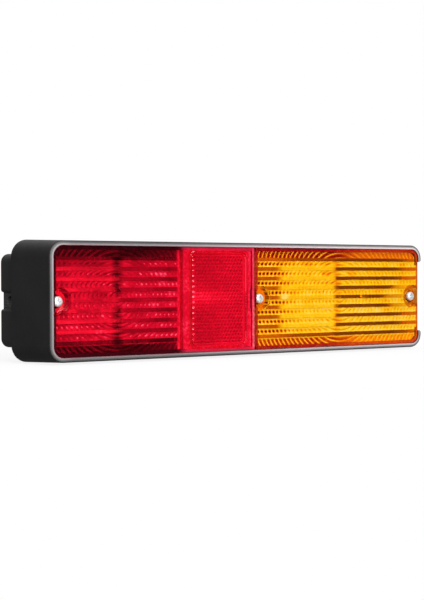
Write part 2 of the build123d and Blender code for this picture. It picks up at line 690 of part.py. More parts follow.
# ------------------------------------------------------------- terminal block
y_term = Y_FLOOR - TERM_D
with BuildPart() as terminal_block:
    with BuildSketch(at(Y_FLOOR)):
        with Locations((TERM_X, 0)):
            RectangleRounded(TERM_W, TERM_H, 1.5)
    extrude(amount=TERM_D)
    # barriers between the ways
    with BuildSketch(at(y_term)):
        with Locations(*[(TERM_X + d, 0) for d in (-12.0 - 4, -8.0, 8.0, 12.0 + 4)]):
            Rectangle(1.2, TERM_H - 3)
    extrude(amount=2.0)
    with BuildSketch(Plane.XY):
        with Locations(*[(x, Y_FLOOR - 6.0) for x in WAYS]):
            Circle(2.55)
    extrude(amount=20, both=True, mode=Mode.SUBTRACT)
    with BuildSketch(at(y_term)):
        with Locations(*[(x, z) for x in WAYS for z in (-5.0, 5.0)]):
            Circle(1.6)
        with Locations((TERM_X, 0)):
            Circle(1.5)
    extrude(amount=-4.5, mode=Mode.SUBTRACT)
    with BuildSketch(at(y_term)):
        with Locations((TERM_X, 0)):
            Circle(1.5)
    extrude(amount=-TERM_D, mode=Mode.SUBTRACT)
save(terminal_block, "terminal_block")

with BuildPart() as terminal_clamps:
    with BuildSketch(Plane.XY):
        with Locations(*[(x, Y_FLOOR - 6.0) for x in WAYS]):
            Circle(2.5)
            Circle(1.7, mode=Mode.SUBTRACT)
    extrude(amount=8.0, both=True)
save(terminal_clamps, "terminal_clamps")

with BuildPart() as terminal_screws:
    with BuildSketch(at(y_term + 3.4)):
        with Locations(*[(x, z) for x in WAYS for z in (-5.0, 5.0)]):
            Circle(1.5)
    extrude(amount=3.8)
    with BuildSketch(at(y_term - 0.4)):
        with Locations(*[(x, z) for x in WAYS for z in (-5.0, 5.0)]):
            Rectangle(3.2, 0.5)
    extrude(amount=-0.7, mode=Mode.SUBTRACT)
save(terminal_screws, "terminal_screws")

with BuildPart() as terminal_fixing_screw:
    with BuildSketch(at(y_term)):
        with Locations((TERM_X, 0)):
            Circle(2.7)
    extrude(amount=1.8)
    fillet(terminal_fixing_screw.faces().sort_by(Axis.Y)[0].edges(), radius=0.9)
    with BuildSketch(at(y_term)):
        with Locations((TERM_X, 0)):
            Circle(1.35)
    extrude(amount=-18.0)
    with BuildSketch(at(y_term - 1.8)):
        with Locations((TERM_X, 0)):
            Rectangle(3.0, 0.7)
            Rectangle(0.7, 3.0)
    extrude(amount=-1.0, mode=Mode.SUBTRACT)
save(terminal_fixing_screw, "terminal_fixing_screw")

# ---------------------------------------------------------------- earth strip
with BuildPart() as earth_strip:
    with BuildSketch(at(Y_BACK + 0.5)):
        with Locations(((RED_X + AMBER_X) / 2, 0)):
            Rectangle(AMBER_X - RED_X - 19, 6.0)
        with Locations((RED_X, 0), (AMBER_X, 0)):
            Circle(12.0)
        with Locations((RED_X, 0), (AMBER_X, 0)):
            Circle(CUP_OUT + 0.03, mode=Mode.SUBTRACT)
        with Locations((TERM_X, 0)):
            Circle(6.0)
            Circle(3.7, mode=Mode.SUBTRACT)
    extrude(amount=0.5)
save(earth_strip, "earth_strip")

# ----------------------------------------------------------------------- wires
y_way = Y_FLOOR - 6.0
routes = {
    "wire_tail": [
        (WAYS[0], y_way, 5.0), (WAYS[0], y_way, 9.5), (-40.5, -26.0, 14.0), (-35.2, -21.5, 17.6),
        (-35.0, -17.5, 17.8), (-40.0, -12.6, 17.0), (-60.0, -11.0, 15.6), (-95.0, -9.5, 15.6),
        (-115.0, -5.2, 18.2), (-120.3, -4.4, 14.5), (-120.3, -4.3, 10.0),
    ],
    "wire_brake": [
        (WAYS[1], y_way, 5.0), (WAYS[1], y_way, 9.5), (-34.0, -26.0, 15.0), (-32.0, -21.5, 20.8),
        (-32.0, -17.5, 20.8), (-36.0, -13.0, 14.0), (-50.0, -11.0, 2.0), (-70.0, -10.0, -9.0),
        (-95.0, -7.0, -16.0), (-110.5, -4.6, -18.6), (-113.7, -4.4, -14.5), (-113.7, -4.3, -10.0),
    ],
    "wire_earth": [
        (WAYS[2], y_way, 5.0), (WAYS[2], y_way, 9.5), (-29.6, -25.0, 13.2), (-31.6, -21.5, 15.2),
        (-32.0, -17.5, 15.0), (-37.0, -13.6, 9.0), (-43.0, -14.9, 2.0), (-52.0, -16.2, 0.0),
    ],
    "wire_turn": [
        (WAYS[3], y_way, 5.0), (WAYS[3], y_way, 9.5), (-24.0, -26.0, 14.0), (-28.8, -21.5, 17.8),
        (-28.8, -17.5, 18.2), (-20.0, -12.5, 15.6), (20.0, -11.0, 15.0), (60.0, -9.0, 15.6),
        (81.0, -5.2, 18.4), (86.0, -4.4, 14.5), (86.0, -4.3, 10.0),
    ],
}
for name, points in routes.items():
    with BuildPart() as wire:
        with BuildLine() as run:
            Spline(*points)
        with BuildSketch(Plane(origin=run.line @ 0, z_dir=run.line % 0)):
            Circle(0.8)
        sweep(path=run.line)
    save(wire, name)
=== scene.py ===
import math

import bmesh
import bpy
import numpy as np
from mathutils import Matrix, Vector


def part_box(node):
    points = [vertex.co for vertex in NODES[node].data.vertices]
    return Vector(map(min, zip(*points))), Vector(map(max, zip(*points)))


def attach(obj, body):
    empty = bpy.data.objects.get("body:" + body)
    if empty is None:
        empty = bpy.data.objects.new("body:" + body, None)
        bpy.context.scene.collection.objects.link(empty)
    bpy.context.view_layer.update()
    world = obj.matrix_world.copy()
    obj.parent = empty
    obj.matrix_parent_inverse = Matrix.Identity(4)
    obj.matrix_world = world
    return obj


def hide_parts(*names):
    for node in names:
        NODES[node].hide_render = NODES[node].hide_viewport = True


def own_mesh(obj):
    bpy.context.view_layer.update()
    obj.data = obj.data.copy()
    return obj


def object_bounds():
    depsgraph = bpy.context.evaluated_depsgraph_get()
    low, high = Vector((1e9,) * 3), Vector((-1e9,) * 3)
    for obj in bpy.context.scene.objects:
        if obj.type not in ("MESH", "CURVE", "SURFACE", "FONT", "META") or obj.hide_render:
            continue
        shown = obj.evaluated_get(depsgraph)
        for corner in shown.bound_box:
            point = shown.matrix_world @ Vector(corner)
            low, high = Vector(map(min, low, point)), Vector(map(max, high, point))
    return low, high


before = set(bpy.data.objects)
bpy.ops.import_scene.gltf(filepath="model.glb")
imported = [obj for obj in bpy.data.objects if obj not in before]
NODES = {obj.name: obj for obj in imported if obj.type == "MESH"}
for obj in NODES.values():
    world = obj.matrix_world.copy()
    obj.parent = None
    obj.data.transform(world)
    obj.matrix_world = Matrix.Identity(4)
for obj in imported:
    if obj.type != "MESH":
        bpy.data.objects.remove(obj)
cad_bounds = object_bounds()
MM = 0.001


# ============================================================ positions (mm)
def box_mm(node):
    lo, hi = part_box(node)
    return np.array(lo) * 1000.0, np.array(hi) * 1000.0


H_LO, H_HI = box_mm("housing")
R_LO, R_HI = box_mm("red_lens")
A_LO, A_HI = box_mm("amber_lens")
X_REFLEX = tuple((box_mm("reflex_reflector")[0][0], box_mm("reflex_reflector")[1][0]))
CX_REFLEX = sum(X_REFLEX) / 2
SCREWS = {s: float(sum(v[0] for v in box_mm("lens_screw_" + s)) / 2) for s in ("left", "middle", "right")}
BULB = {c: float(sum(v[0] for v in box_mm("bulb_cap_" + c)) / 2) for c in ("red", "amber")}
Y_RIM = H_LO[1]
Y_FACE = A_LO[1]                   # outer face of the lenses
Y_INNER = Y_FACE + 2.5
Y_SKIRT = float(R_HI[1])
Y_SEAT = -60.1
LENS_L, LENS_R, LENS_T = float(R_LO[0]), -float(R_LO[0]), float(R_HI[2])
RED_EDGE, AMBER_EDGE = 0.6, float(A_LO[0])
SIDE_X = float(A_HI[0])
WIN = 26.6
CORNER = 7.0
ROW, BAR_AT, BAR_HALF = 7.0, 0.5, 1.35


# ============================================================ node materials
class Mat:
    """Small helper around one node tree."""

    def __init__(self, name):
        self.m = bpy.data.materials.new(name)
        self.m.use_nodes = True
        self.t = self.m.node_tree
        self.t.nodes.clear()
        self.out = self.t.nodes.new("ShaderNodeOutputMaterial")

    def n(self, kind, **kw):
        node = self.t.nodes.new(kind)
        for k, v in kw.items():
            if k in node.inputs:
                node.inputs[k].default_value = v
            else:
                setattr(node, k, v)
        return node

    def put(self, node, **kw):
        for k, v in kw.items():
            node.inputs[k].default_value = v
        return node

    def link(self, a, b):
        self.t.links.new(a, b)

    def coords(self, scale=1.0):
        c = self.n("ShaderNodeTexCoord")
        m = self.n("ShaderNodeMapping")
        m.inputs["Scale"].default_value = (scale, scale, scale) if isinstance(scale, (int, float)) else scale
        self.link(c.outputs["Object"], m.inputs["Vector"])
        return m.outputs["Vector"]

    def noise(self, scale, detail=4.0, rough=0.55, vec=None, distortion=0.0):
        n = self.n("ShaderNodeTexNoise")
        n.inputs["Scale"].default_value = scale
        n.inputs["Detail"].default_value = detail
        n.inputs["Roughness"].default_value = rough
        n.inputs["Distortion"].default_value = distortion
        self.link(vec if vec is not None else self.coords(), n.inputs["Vector"])
        return n.outputs["Fac"]

    def ramp(self, fac, stops, interp="LINEAR"):
        r = self.n("ShaderNodeValToRGB")
        r.color_ramp.interpolation = interp
        e = r.color_ramp.elements
        while len(e) > 1:
            e.remove(e[-1])
        e[0].position, e[0].color = stops[0][0], stops[0][1]
        for p, c in stops[1:]:
            k = e.new(p)
            k.color = c
        self.link(fac, r.inputs["Fac"])
        return r.outputs["Color"]

    def math(self, op, a, b=None, clamp=False):
        n = self.n("ShaderNodeMath")
        n.operation = op
        n.use_clamp = clamp
        for i, v in enumerate((a, b)):
            if v is None:
                continue
            if isinstance(v, (int, float)):
                n.inputs[i].default_value = v
            else:
                self.link(v, n.inputs[i])
        return n.outputs[0]

    def span(self, v, a, b, c=0.0, d=1.0):
        n = self.n("ShaderNodeMapRange")
        n.clamp = True
        for i, x in enumerate((v, a, b, c, d)):
            if isinstance(x, (int, float)):
                n.inputs[i].default_value = x
            else:
                self.link(x, n.inputs[i])
        return n.outputs[0]

    def mix(self, fac, a, b, kind="RGBA", blend="MIX"):
        n = self.n("ShaderNodeMix")
        n.data_type = kind
        if kind == "RGBA":
            n.blend_type = blend
            ia, ib = n.inputs[6], n.inputs[7]
            out = n.outputs[2]
        else:
            ia, ib = n.inputs[2], n.inputs[3]
            out = n.outputs[0]
        for i, v in ((n.inputs[0], fac), (ia, a), (ib, b)):
            if isinstance(v, (int, float)):
                i.default_value = v
            elif isinstance(v, tuple):
                i.default_value = v
            else:
                self.link(v, i)
        return out

    def bump(self, height, strength, distance, normal=None):
        b = self.n("ShaderNodeBump")
        b.inputs["Strength"].default_value = strength
        b.inputs["Distance"].default_value = distance
        self.link(height, b.inputs["Height"])
        if normal is not None:
            self.link(normal, b.inputs["Normal"])
        return b.outputs["Normal"]

    def principled(self, color=None, rough=None, metal=0.0, normal=None, **kw):
        p = self.n("ShaderNodeBsdfPrincipled")
        for key, v in (("Base Color", color), ("Roughness", rough), ("Metallic", metal), ("Normal", normal)):
            if v is None:
                continue
            if isinstance(v, (int, float, tuple)):
                p.inputs[key].default_value = v
            else:
                self.link(v, p.inputs[key])
        for k, v in kw.items():
            key = k.replace("_", " ")
            if isinstance(v, (int, float, tuple)):
                p.inputs[key].default_value = v
            else:
                self.link(v, p.inputs[key])
        return p.outputs["BSDF"]

    def done(self, shader):
        self.link(shader, self.out.inputs["Surface"])
        return self.m


def rgb(r, g, b):
    return (r, g, b, 1.0)


def separate(m):
    c = m.n("ShaderNodeTexCoord")
    s = m.n("ShaderNodeSeparateXYZ")
    m.link(c.outputs["Object"], s.inputs[0])
    return s.outputs


def moulded_plastic(name, dark, light, rough=0.5, grain=2600.0, depth=0.00004, sheen_edge=0.0):
    """Moulded plastic: fine spark grain, faint flow clouds, convex edges lightened as a painted sheen."""
    m = Mat(name)
    cloud = m.noise(28.0, 5.0, 0.6)
    grain_h = m.noise(grain, 2.0, 0.5)
    fine = m.noise(grain * 0.37, 3.0, 0.6)
    color = m.ramp(cloud, [(0.3, dark), (0.72, light)])
    speck = m.span(grain_h, 0.35, 0.75, 0.0, 0.18)
    color = m.mix(speck, color, tuple(min(1.0, c * 2.2) for c in light[:3]) + (1.0,))
    # painted highlight: convex edges are lightened by the amount sheen_edge
    geo = m.n("ShaderNodeNewGeometry")
    edge = m.span(geo.outputs["Pointiness"], 0.52, 0.6, 0.0, sheen_edge)
    color = m.mix(edge, color, tuple(min(1.0, c * 3.5 + 0.01) for c in light[:3]) + (1.0,))
    height = m.math("ADD", m.math("MULTIPLY", grain_h, 0.6), m.math("MULTIPLY", fine, 0.4))
    normal = m.bump(height, 0.55, depth)
    r = m.span(fine, 0.25, 0.75, rough - 0.07, rough + 0.09)
    return m, color, r, normal


# tray: black, with a painted highlight, light grey, on the forward face of the rim
def housing_material():
    m, color, rough, normal = moulded_plastic(
        "tray_black_plastic", rgb(0.0125, 0.0112, 0.0116), rgb(0.0215, 0.0194, 0.0199), 0.58, sheen_edge=0.2
    )
    xyz = separate(m)
    geo = m.n("ShaderNodeNewGeometry")
    ns = m.n("ShaderNodeSeparateXYZ")
    m.link(geo.outputs["Normal"], ns.inputs[0])
    front = m.span(xyz["Y"], Y_RIM * MM + 0.0009, Y_RIM * MM + 0.0002)
    facing = m.span(ns.outputs["Y"], -0.76, -0.97)
    # distance outward from the edge of the lens opening
    qx = m.math("MAXIMUM", m.math("SUBTRACT", m.math("ABSOLUTE", xyz["X"]), 0.1615), 0.0)
    qz = m.math("MAXIMUM", m.math("SUBTRACT", m.math("ABSOLUTE", xyz["Z"]), 0.0295), 0.0)
    reach = m.math("SQRT", m.math("ADD", m.math("MULTIPLY", qx, qx), m.math("MULTIPLY", qz, qz)))
    # painted shade: the rim highlight fades on the outer rounded edge of the rim
    highlight_falloff = m.span(reach, 0.0079, 0.0092, 1.0, 0.22)
    rim = m.math("MULTIPLY", m.math("MULTIPLY", front, facing), highlight_falloff)
    # painted highlight: the light grey of the rim face stands in for the reflection of the front lights, varied by
    # noise
    highlight_noise = m.noise(900.0, 3.0, 0.6)
    rim_highlight = m.ramp(highlight_noise, [(0.2, rgb(0.80, 0.80, 0.81)), (0.8, rgb(1.0, 1.0, 1.0))])
    # painted reflection: the rim face is brighter towards the right end
    along = m.ramp(m.span(xyz["X"], -0.1735, 0.1735), [
        (0.0, rgb(0.44, 0.43, 0.435)), (0.06, rgb(0.26, 0.25, 0.255)), (0.3, rgb(0.30, 0.275, 0.285)),
        (0.6, rgb(0.64, 0.57, 0.59)), (0.965, rgb(0.78, 0.71, 0.71)), (1.0, rgb(0.42, 0.38, 0.39))])
    rim_highlight = m.mix(1.0, rim_highlight, along, blend="MULTIPLY")
    # painted light: the rim face is lighter towards the top
    top_light = m.span(xyz["Z"], -0.036, 0.036, 0.72, 1.0)
    rim_highlight = m.mix(1.0, rim_highlight, top_light, blend="MULTIPLY")
    # the rear boss is coloured slightly paler
    boss = m.span(xyz["Y"], -0.0185, -0.0165, 0.0, 0.85)
    color = m.mix(boss, color, rgb(0.030, 0.029, 0.030))
    # painted reflection and shade: the innermost edge of the rim is painted dark red, the colour of the lens beside it
    lens_reflection = m.span(reach, 0.0074, 0.0081, 0.75, 0.0)
    rim_highlight = m.mix(lens_reflection, rim_highlight, rgb(0.22, 0.045, 0.05))
    color = m.mix(rim, color, rim_highlight)
    rough = m.mix(rim, rough, 0.36, kind="FLOAT")
    return m.done(m.principled(color, rough, 0.0, normal, Specular_IOR_Level=0.26))


def plain_plastic(name, dark, light, rough=0.5, grain=2600.0, depth=0.00003, **kw):
    m, color, r, normal = moulded_plastic(name, dark, light, rough, grain, depth, 0.15)
    return m.done(m.principled(color, r, 0.0, normal, **kw))


def rubber(name, dark, light):
    m = Mat(name)
    cloud = m.noise(45.0, 6.0, 0.65)
    grain = m.noise(1700.0, 3.0, 0.6)
    color = m.ramp(cloud, [(0.3, dark), (0.7, light)])
    dust = m.span(m.noise(320.0, 6.0, 0.7), 0.6, 0.85, 0.0, 0.35)
    color = m.mix(dust, color, rgb(0.16, 0.16, 0.15))
    normal = m.bump(grain, 0.5, 0.00005)
    return m.done(m.principled(color, m.span(grain, 0.3, 0.7, 0.62, 0.82), 0.0, normal, Specular_IOR_Level=0.3))


def metal(name, dark, light, rough=0.25, brushed=(1.0, 1.0, 1.0), scale=900.0, tarnish=0.25, depth=0.00001, metallic=1.0):
    """Plated or drawn metal: fine lines, faint clouding, darker tarnish in patches."""
    m = Mat(name)
    lines = m.noise(scale, 3.0, 0.6, vec=m.coords(brushed))
    cloud = m.noise(90.0, 5.0, 0.6)
    color = m.ramp(lines, [(0.25, dark), (0.75, light)])
    spots = m.span(cloud, 0.55, 0.8, 0.0, tarnish)
    color = m.mix(spots, color, tuple(c * 0.55 for c in dark[:3]) + (1.0,))
    r = m.span(lines, 0.2, 0.8, rough * 0.7, rough * 1.4)
    normal = m.bump(lines, 0.35, depth)
    return m.done(m.principled(color, r, metallic, normal))


def lens_material(name, tint, shade, stops, skin_tint, gloss=0.02):
    """Clear tinted acrylic.  The fine moulded ribs are shaded as scattering part of the light: the
    attribute rib says how much of it, and painted_tone is painted light, the brightness set to stand in
    for the lit chambers, shade and highlights seen through the lens.  Light reaches the chambers through the tinted
    wall."""
    m = Mat(name)
    fine = m.noise(160.0, 3.0, 0.5)
    base = m.ramp(fine, [(0.3, tint), (0.75, tuple(min(1.0, c * 1.04 + 0.002) for c in tint[:3]) + (1.0,))])
    wave = m.noise(70.0, 2.0, 0.5)
    normal = m.bump(wave, 0.06, 0.0002)
    clear = m.principled(base, m.span(fine, 0.3, 0.8, gloss * 0.5, gloss * 1.5), 0.0, normal,
                         Transmission_Weight=1.0, IOR=1.49)
    rib = m.n("ShaderNodeAttribute")
    rib.attribute_name = "rib"
    painted_tone = m.n("ShaderNodeAttribute")
    painted_tone.attribute_name = "painted_tone"
    grain = m.span(m.noise(520.0, 3.0, 0.6), 0.3, 0.7, -0.07, 0.07)
    # painted light: the colour of the scattering surface comes from the painted_tone ramp
    painted_glow = m.ramp(m.math("ADD", painted_tone.outputs["Fac"], grain, clamp=True), stops)
    skin = m.n("ShaderNodeAttribute")
    skin.attribute_name = "skin"
    painted_glow = m.mix(skin.outputs["Fac"], painted_glow, skin_tint, blend="MULTIPLY")
    trans = m.n("ShaderNodeBsdfTranslucent")
    diff = m.n("ShaderNodeBsdfDiffuse")
    m.link(painted_glow, trans.inputs["Color"])
    m.link(painted_glow, diff.inputs["Color"])
    both = m.n("ShaderNodeMixShader")
    both.inputs[0].default_value = 0.12
    m.link(diff.outputs[0], both.inputs[1])
    m.link(trans.outputs[0], both.inputs[2])
    mixed = m.n("ShaderNodeMixShader")
    m.link(rib.outputs["Fac"], mixed.inputs[0])
    m.link(clear, mixed.inputs[1])
    m.link(both.outputs[0], mixed.inputs[2])
    path = m.n("ShaderNodeLightPath")
    pass_through = m.n("ShaderNodeBsdfTransparent")
    pass_through.inputs["Color"].default_value = shade
    final = m.n("ShaderNodeMixShader")
    m.link(path.outputs["Is Shadow Ray"], final.inputs[0])
    m.link(mixed.outputs[0], final.inputs[1])
    m.link(pass_through.outputs[0], final.inputs[2])
    return m.done(final.outputs[0])


def glass_material(name):
    m = Mat(name)
    fine = m.noise(60.0, 3.0, 0.5)
    base = m.ramp(fine, [(0.3, rgb(0.97, 0.985, 0.985)), (0.8, rgb(1.0, 1.0, 1.0))])
    clear = m.principled(base, m.span(fine, 0.3, 0.8, 0.0, 0.02), 0.0, m.bump(fine, 0.05, 0.0002),
                         Transmission_Weight=1.0, IOR=1.46)
    path = m.n("ShaderNodeLightPath")
    pass_through = m.n("ShaderNodeBsdfTransparent")
    pass_through.inputs["Color"].default_value = rgb(0.95, 0.96, 0.96)
    final = m.n("ShaderNodeMixShader")
    m.link(path.outputs["Is Shadow Ray"], final.inputs[0])
    m.link(clear, final.inputs[1])
    m.link(pass_through.outputs[0], final.inputs[2])
    return m.done(final.outputs[0])


MAT = {
    "housing": housing_material(),
    "cover": plain_plastic("rear_cover_plastic", rgb(0.012, 0.012, 0.013), rgb(0.021, 0.021, 0.022), 0.52),
    "rubber": rubber("black_rubber", rgb(0.012, 0.012, 0.012), rgb(0.03, 0.03, 0.03)),
    "grommet": rubber("grommet_rubber", rgb(0.050, 0.050, 0.054), rgb(0.11, 0.11, 0.115)),
    "zinc": metal("bright_zinc", rgb(0.86, 0.87, 0.88), rgb(0.97, 0.98, 0.99), 0.34, (1, 1, 1), 700.0, 0.08, metallic=0.62),
    "stud": metal("zinc_stud", rgb(0.55, 0.55, 0.54), rgb(0.80, 0.80, 0.79), 0.30, (1, 0.15, 1), 1200.0, 0.3),
    "tinplate": metal("bright_tinplate", rgb(0.93, 0.93, 0.92), rgb(0.99, 0.99, 0.98), 0.45, (0.15, 1, 1), 600.0, 0.08,
                      metallic=0.35),
    "nickel": metal("nickel_cap", rgb(0.62, 0.58, 0.50), rgb(0.84, 0.80, 0.72), 0.24, (1, 0.1, 1), 900.0, 0.3),
    "brass": metal("bare_brass", rgb(0.62, 0.42, 0.13), rgb(0.86, 0.64, 0.26), 0.3, (1, 0.2, 1), 900.0, 0.35),
    "spring": metal("spring_wire", rgb(0.42, 0.42, 0.43), rgb(0.66, 0.66, 0.67), 0.3, (1, 1, 1), 1500.0, 0.3),
    "tungsten": metal("stem_and_coil", rgb(0.30, 0.30, 0.31), rgb(0.60, 0.60, 0.62), 0.35, (1, 1, 1), 1500.0, 0.2),
    "nylon": plain_plastic("natural_nylon", rgb(0.66, 0.64, 0.58), rgb(0.80, 0.79, 0.74), 0.42, 1800.0),
    "fibre": plain_plastic("insulating_fibre", rgb(0.20, 0.085, 0.035), rgb(0.36, 0.17, 0.08), 0.6, 1200.0),
    "pvc_brown": plain_plastic("pvc_brown", rgb(0.13, 0.05, 0.02), rgb(0.20, 0.085, 0.035), 0.38),
    "pvc_red": plain_plastic("pvc_red", rgb(0.42, 0.012, 0.012), rgb(0.58, 0.03, 0.025), 0.38),
    "pvc_green": plain_plastic("pvc_green", rgb(0.012, 0.20, 0.05), rgb(0.03, 0.32, 0.09), 0.38),
    "pvc_white": plain_plastic("pvc_white", rgb(0.62, 0.62, 0.60), rgb(0.80, 0.80, 0.78), 0.38),
    "glass": glass_material("bulb_glass"),
    "red": lens_material("red_acrylic", rgb(1.0, 0.030, 0.080), rgb(1.0, 0.55, 0.6), [
        (0.0, rgb(0.010, 0.001, 0.003)), (0.30, rgb(0.10, 0.006, 0.024)), (0.60, rgb(0.42, 0.015, 0.070)),
        (0.80, rgb(0.72, 0.035, 0.135)), (0.87, rgb(0.86, 0.14, 0.30)), (1.0, rgb(1.0, 1.0, 1.0))],
        rgb(1.0, 0.62, 0.46)),
    "amber": lens_material("amber_acrylic", rgb(1.0, 0.46, 0.03), rgb(1.0, 0.93, 0.60), [
        (0.0, rgb(0.03, 0.001, 0.002)), (0.22, rgb(0.34, 0.010, 0.02)), (0.50, rgb(0.84, 0.24, 0.025)),
        (0.80, rgb(1.0, 0.84, 0.04)), (1.0, rgb(1.0, 1.0, 1.0))],
        rgb(1.0, 0.45, 0.32)),
}


# ============================================================ lens mouldings
def axis_lines(lo, hi, step, extra, fine=()):
    """Sorted grid lines: a regular series with the lines in extra put in exactly."""
    base = list(np.linspace(lo, hi, int(round((hi - lo) / step)) + 1))
    for a, b, s in fine:
        base = [v for v in base if v <= a or v >= b] + list(np.linspace(a, b, int(round((b - a) / s)) + 1))
    extra = [e for e in extra if lo - 1e-9 <= e <= hi + 1e-9]
    keep = [v for v in base if all(abs(v - e) > 0.3 * step for e in extra)]
    out = sorted(set(round(v, 5) for v in keep + extra + [lo, hi]))
    return np.array([v for i, v in enumerate(out) if i == 0 or v - out[i - 1] > 0.02])


def corner_warp(X, Z, x_edge, sx, radius=CORNER):
    """Maps the square at an outer corner of the lens onto its quarter disc."""
    cx, cz = x_edge - sx * radius, LENS_T - radius
    a = np.clip((X - cx) * sx / radius, 0, 1)
    b = np.clip((np.abs(Z) - cz) / radius, 0, 1)
    inside = (a > 0) & (b > 0)
    nx = cx + sx * radius * a * np.sqrt(1 - b * b / 2)
    nz = np.sign(Z) * (cz + radius * b * np.sqrt(1 - a * a / 2))
    return np.where(inside, nx, X), np.where(inside, nz, Z)


def snap_circle(X, Z, cx, cz, r, cell, gap=0.10):
    """Moves grid points near a circle onto its inner or outer side."""
    dx, dz = X - cx, Z - cz
    d = np.hypot(dx, dz)
    s = d - r
    near = np.abs(s) < 0.62 * cell
    target = np.where(s <= 0, r - gap, r + gap)
    f = np.where(near & (d > 1e-6), target / np.maximum(d, 1e-6), 1.0)
    return cx + dx * f, cz + dz * f


def sd_round_rect(X, Z, cx, cz, w, h, r):
    qx, qz = np.abs(X - cx) - (w / 2 - r), np.abs(Z - cz) - (h / 2 - r)
    return np.hypot(np.maximum(qx, 0), np.maximum(qz, 0)) + np.minimum(np.maximum(qx, qz), 0) - r


def snap_round_rect(X, Z, cx, cz, w, h, r, cell, gap=0.10):
    e = 1e-3
    s = sd_round_rect(X, Z, cx, cz, w, h, r)
    gx = (sd_round_rect(X + e, Z, cx, cz, w, h, r) - s) / e
    gz = (sd_round_rect(X, Z + e, cx, cz, w, h, r) - s) / e
    near = np.abs(s) < 0.62 * cell
    move = np.where(near, np.where(s <= 0, -gap, gap) - s, 0.0)
    return X + gx * move, Z + gz * move


def smooth(e0, e1, v):
    t = np.clip((v - e0) / (e1 - e0), 0, 1)
    return t * t * (3 - 2 * t)


def height_solid(name, X, Z, y_out, y_in, keep, rib, painted_tone, mat, parent, rib_out=None):
    """Closed mesh between two height fields over the kept cells of one grid."""
    nx, nz = X.shape
    idx = np.arange(nx * nz).reshape(nx, nz)
    a, b, c, d = idx[:-1, :-1], idx[1:, :-1], idx[1:, 1:], idx[:-1, 1:]
    k = keep
    n0 = nx * nz
    outer = np.stack([a[k], b[k], c[k], d[k]], 1)          # faces towards -Y
    inner = np.stack([a[k], d[k], c[k], b[k]], 1) + n0     # faces towards +Y
    walls = []
    pad = np.zeros((k.shape[0] + 2, k.shape[1] + 2), bool)
    pad[1:-1, 1:-1] = k
    for (di, dj), (p, q) in (((-1, 0), (a, d)), ((1, 0), (c, b)), ((0, -1), (b, a)), ((0, 1), (d, c))):
        edge = k & ~pad[1 + di:1 + di + k.shape[0], 1 + dj:1 + dj + k.shape[1]]
        P, Q = p[edge], q[edge]
        walls.append(np.stack([P, Q, Q + n0, P + n0], 1))
    walls = np.concatenate(walls)
    faces = np.concatenate([outer, inner, walls])
    co = np.concatenate([
        np.stack([X.ravel(), y_out.ravel(), Z.ravel()], 1),
        np.stack([X.ravel(), y_in.ravel(), Z.ravel()], 1),
    ])
    used = np.unique(faces)
    remap = -np.ones(len(co), int)
    remap[used] = np.arange(len(used))
    faces = remap[faces]
    co = co[used] * MM
    mesh = bpy.data.meshes.new(name)
    mesh.vertices.add(len(co))
    mesh.vertices.foreach_set("co", co.astype(np.float32).ravel())
    mesh.loops.add(len(faces) * 4)
    mesh.loops.foreach_set("vertex_index", faces.astype(np.int32).ravel())
    mesh.polygons.add(len(faces))
    mesh.polygons.foreach_set("loop_start", np.arange(0, len(faces) * 4, 4, dtype=np.int32))
    mesh.polygons.foreach_set("loop_total", np.full(len(faces), 4, np.int32))
    smooth_flags = np.zeros(len(faces), bool)
    smooth_flags[len(outer):len(outer) + len(inner)] = True
    mesh.polygons.foreach_set("use_smooth", smooth_flags)
    mesh.update(calc_edges=True)
    mesh.validate()
    skin = np.zeros(n0) if rib_out is None else rib_out.ravel()
    # painted_tone carries the painted light and shade to the lens shader
    layers = (("rib", skin, rib.ravel()), ("painted_tone", painted_tone.ravel(), painted_tone.ravel()), ("skin", (skin > 0.7) * 1.0, 0 * skin))
    for label, outer_v, inner_v in layers:
        values = np.concatenate([outer_v, inner_v])[used]
        layer = mesh.attributes.new(label, "FLOAT", "POINT")
        layer.data.foreach_set("value", values.astype(np.float32))
    obj = bpy.data.objects.new(name, mesh)
    bpy.context.scene.collection.objects.link(obj)
    mesh.materials.append(mat)
    bm = bmesh.new()
    bm.from_mesh(mesh)
    bmesh.ops.recalc_face_normals(bm, faces=bm.faces)
    bm.to_mesh(mesh)
    bm.free()
    mark_sharp(mesh, 40.0)
    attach(obj, parent)
    return obj


def mark_sharp(mesh, degrees):
    """Sharp edges where faces meet at more than the given angle."""
    bm = bmesh.new()
    bm.from_mesh(mesh)
    limit = math.radians(degrees)
    for e in bm.edges:
        e.smooth = not (len(e.link_faces) == 2 and e.calc_face_angle(0.0) > limit)
    bm.to_mesh(mesh)
    bm.free()


def row_mask(Z):
    """1 in the ribbed rows, 0 in the plain bars between them."""
    phase = np.abs((Z - BAR_AT + ROW / 2) % ROW - ROW / 2)      # distance to the nearest bar centre
    return smooth(BAR_HALF - 0.16, BAR_HALF + 0.16, phase)


def rings(X, Z, cx, pitch=3.5):
    """Convex ribs that run in circles round the bulb axis, pillowed in height."""
    r = np.hypot(X - cx, Z)
    u = (r / pitch) % 1.0
    ribs = 1 - (2 * u - 1) ** 2
    phase = np.abs((Z - BAR_AT + ROW / 2) % ROW - ROW / 2)
    t = np.clip((phase - BAR_HALF) / (ROW / 2 - BAR_HALF), 0, 1)
    crown = 0.45 + 0.55 * np.sin(t * math.pi / 2)
    return ribs * crown


def row_phase(Z):
    return np.abs((Z - BAR_AT + ROW / 2) % ROW - ROW / 2)


def bump_1d(v, centre, half):
    return np.clip(1 - np.abs(v - centre) / half, 0, 1)


def crest_highlight(X, Z, cx, pitch=3.5, power=2.0):
    """Painted highlight: bright lines on the crests of the rings."""
    u = (np.hypot(X - cx, Z) / pitch) % 1.0
    return (1 - np.abs(2 * u - 1)) ** power


RNG = np.random.default_rng(7)


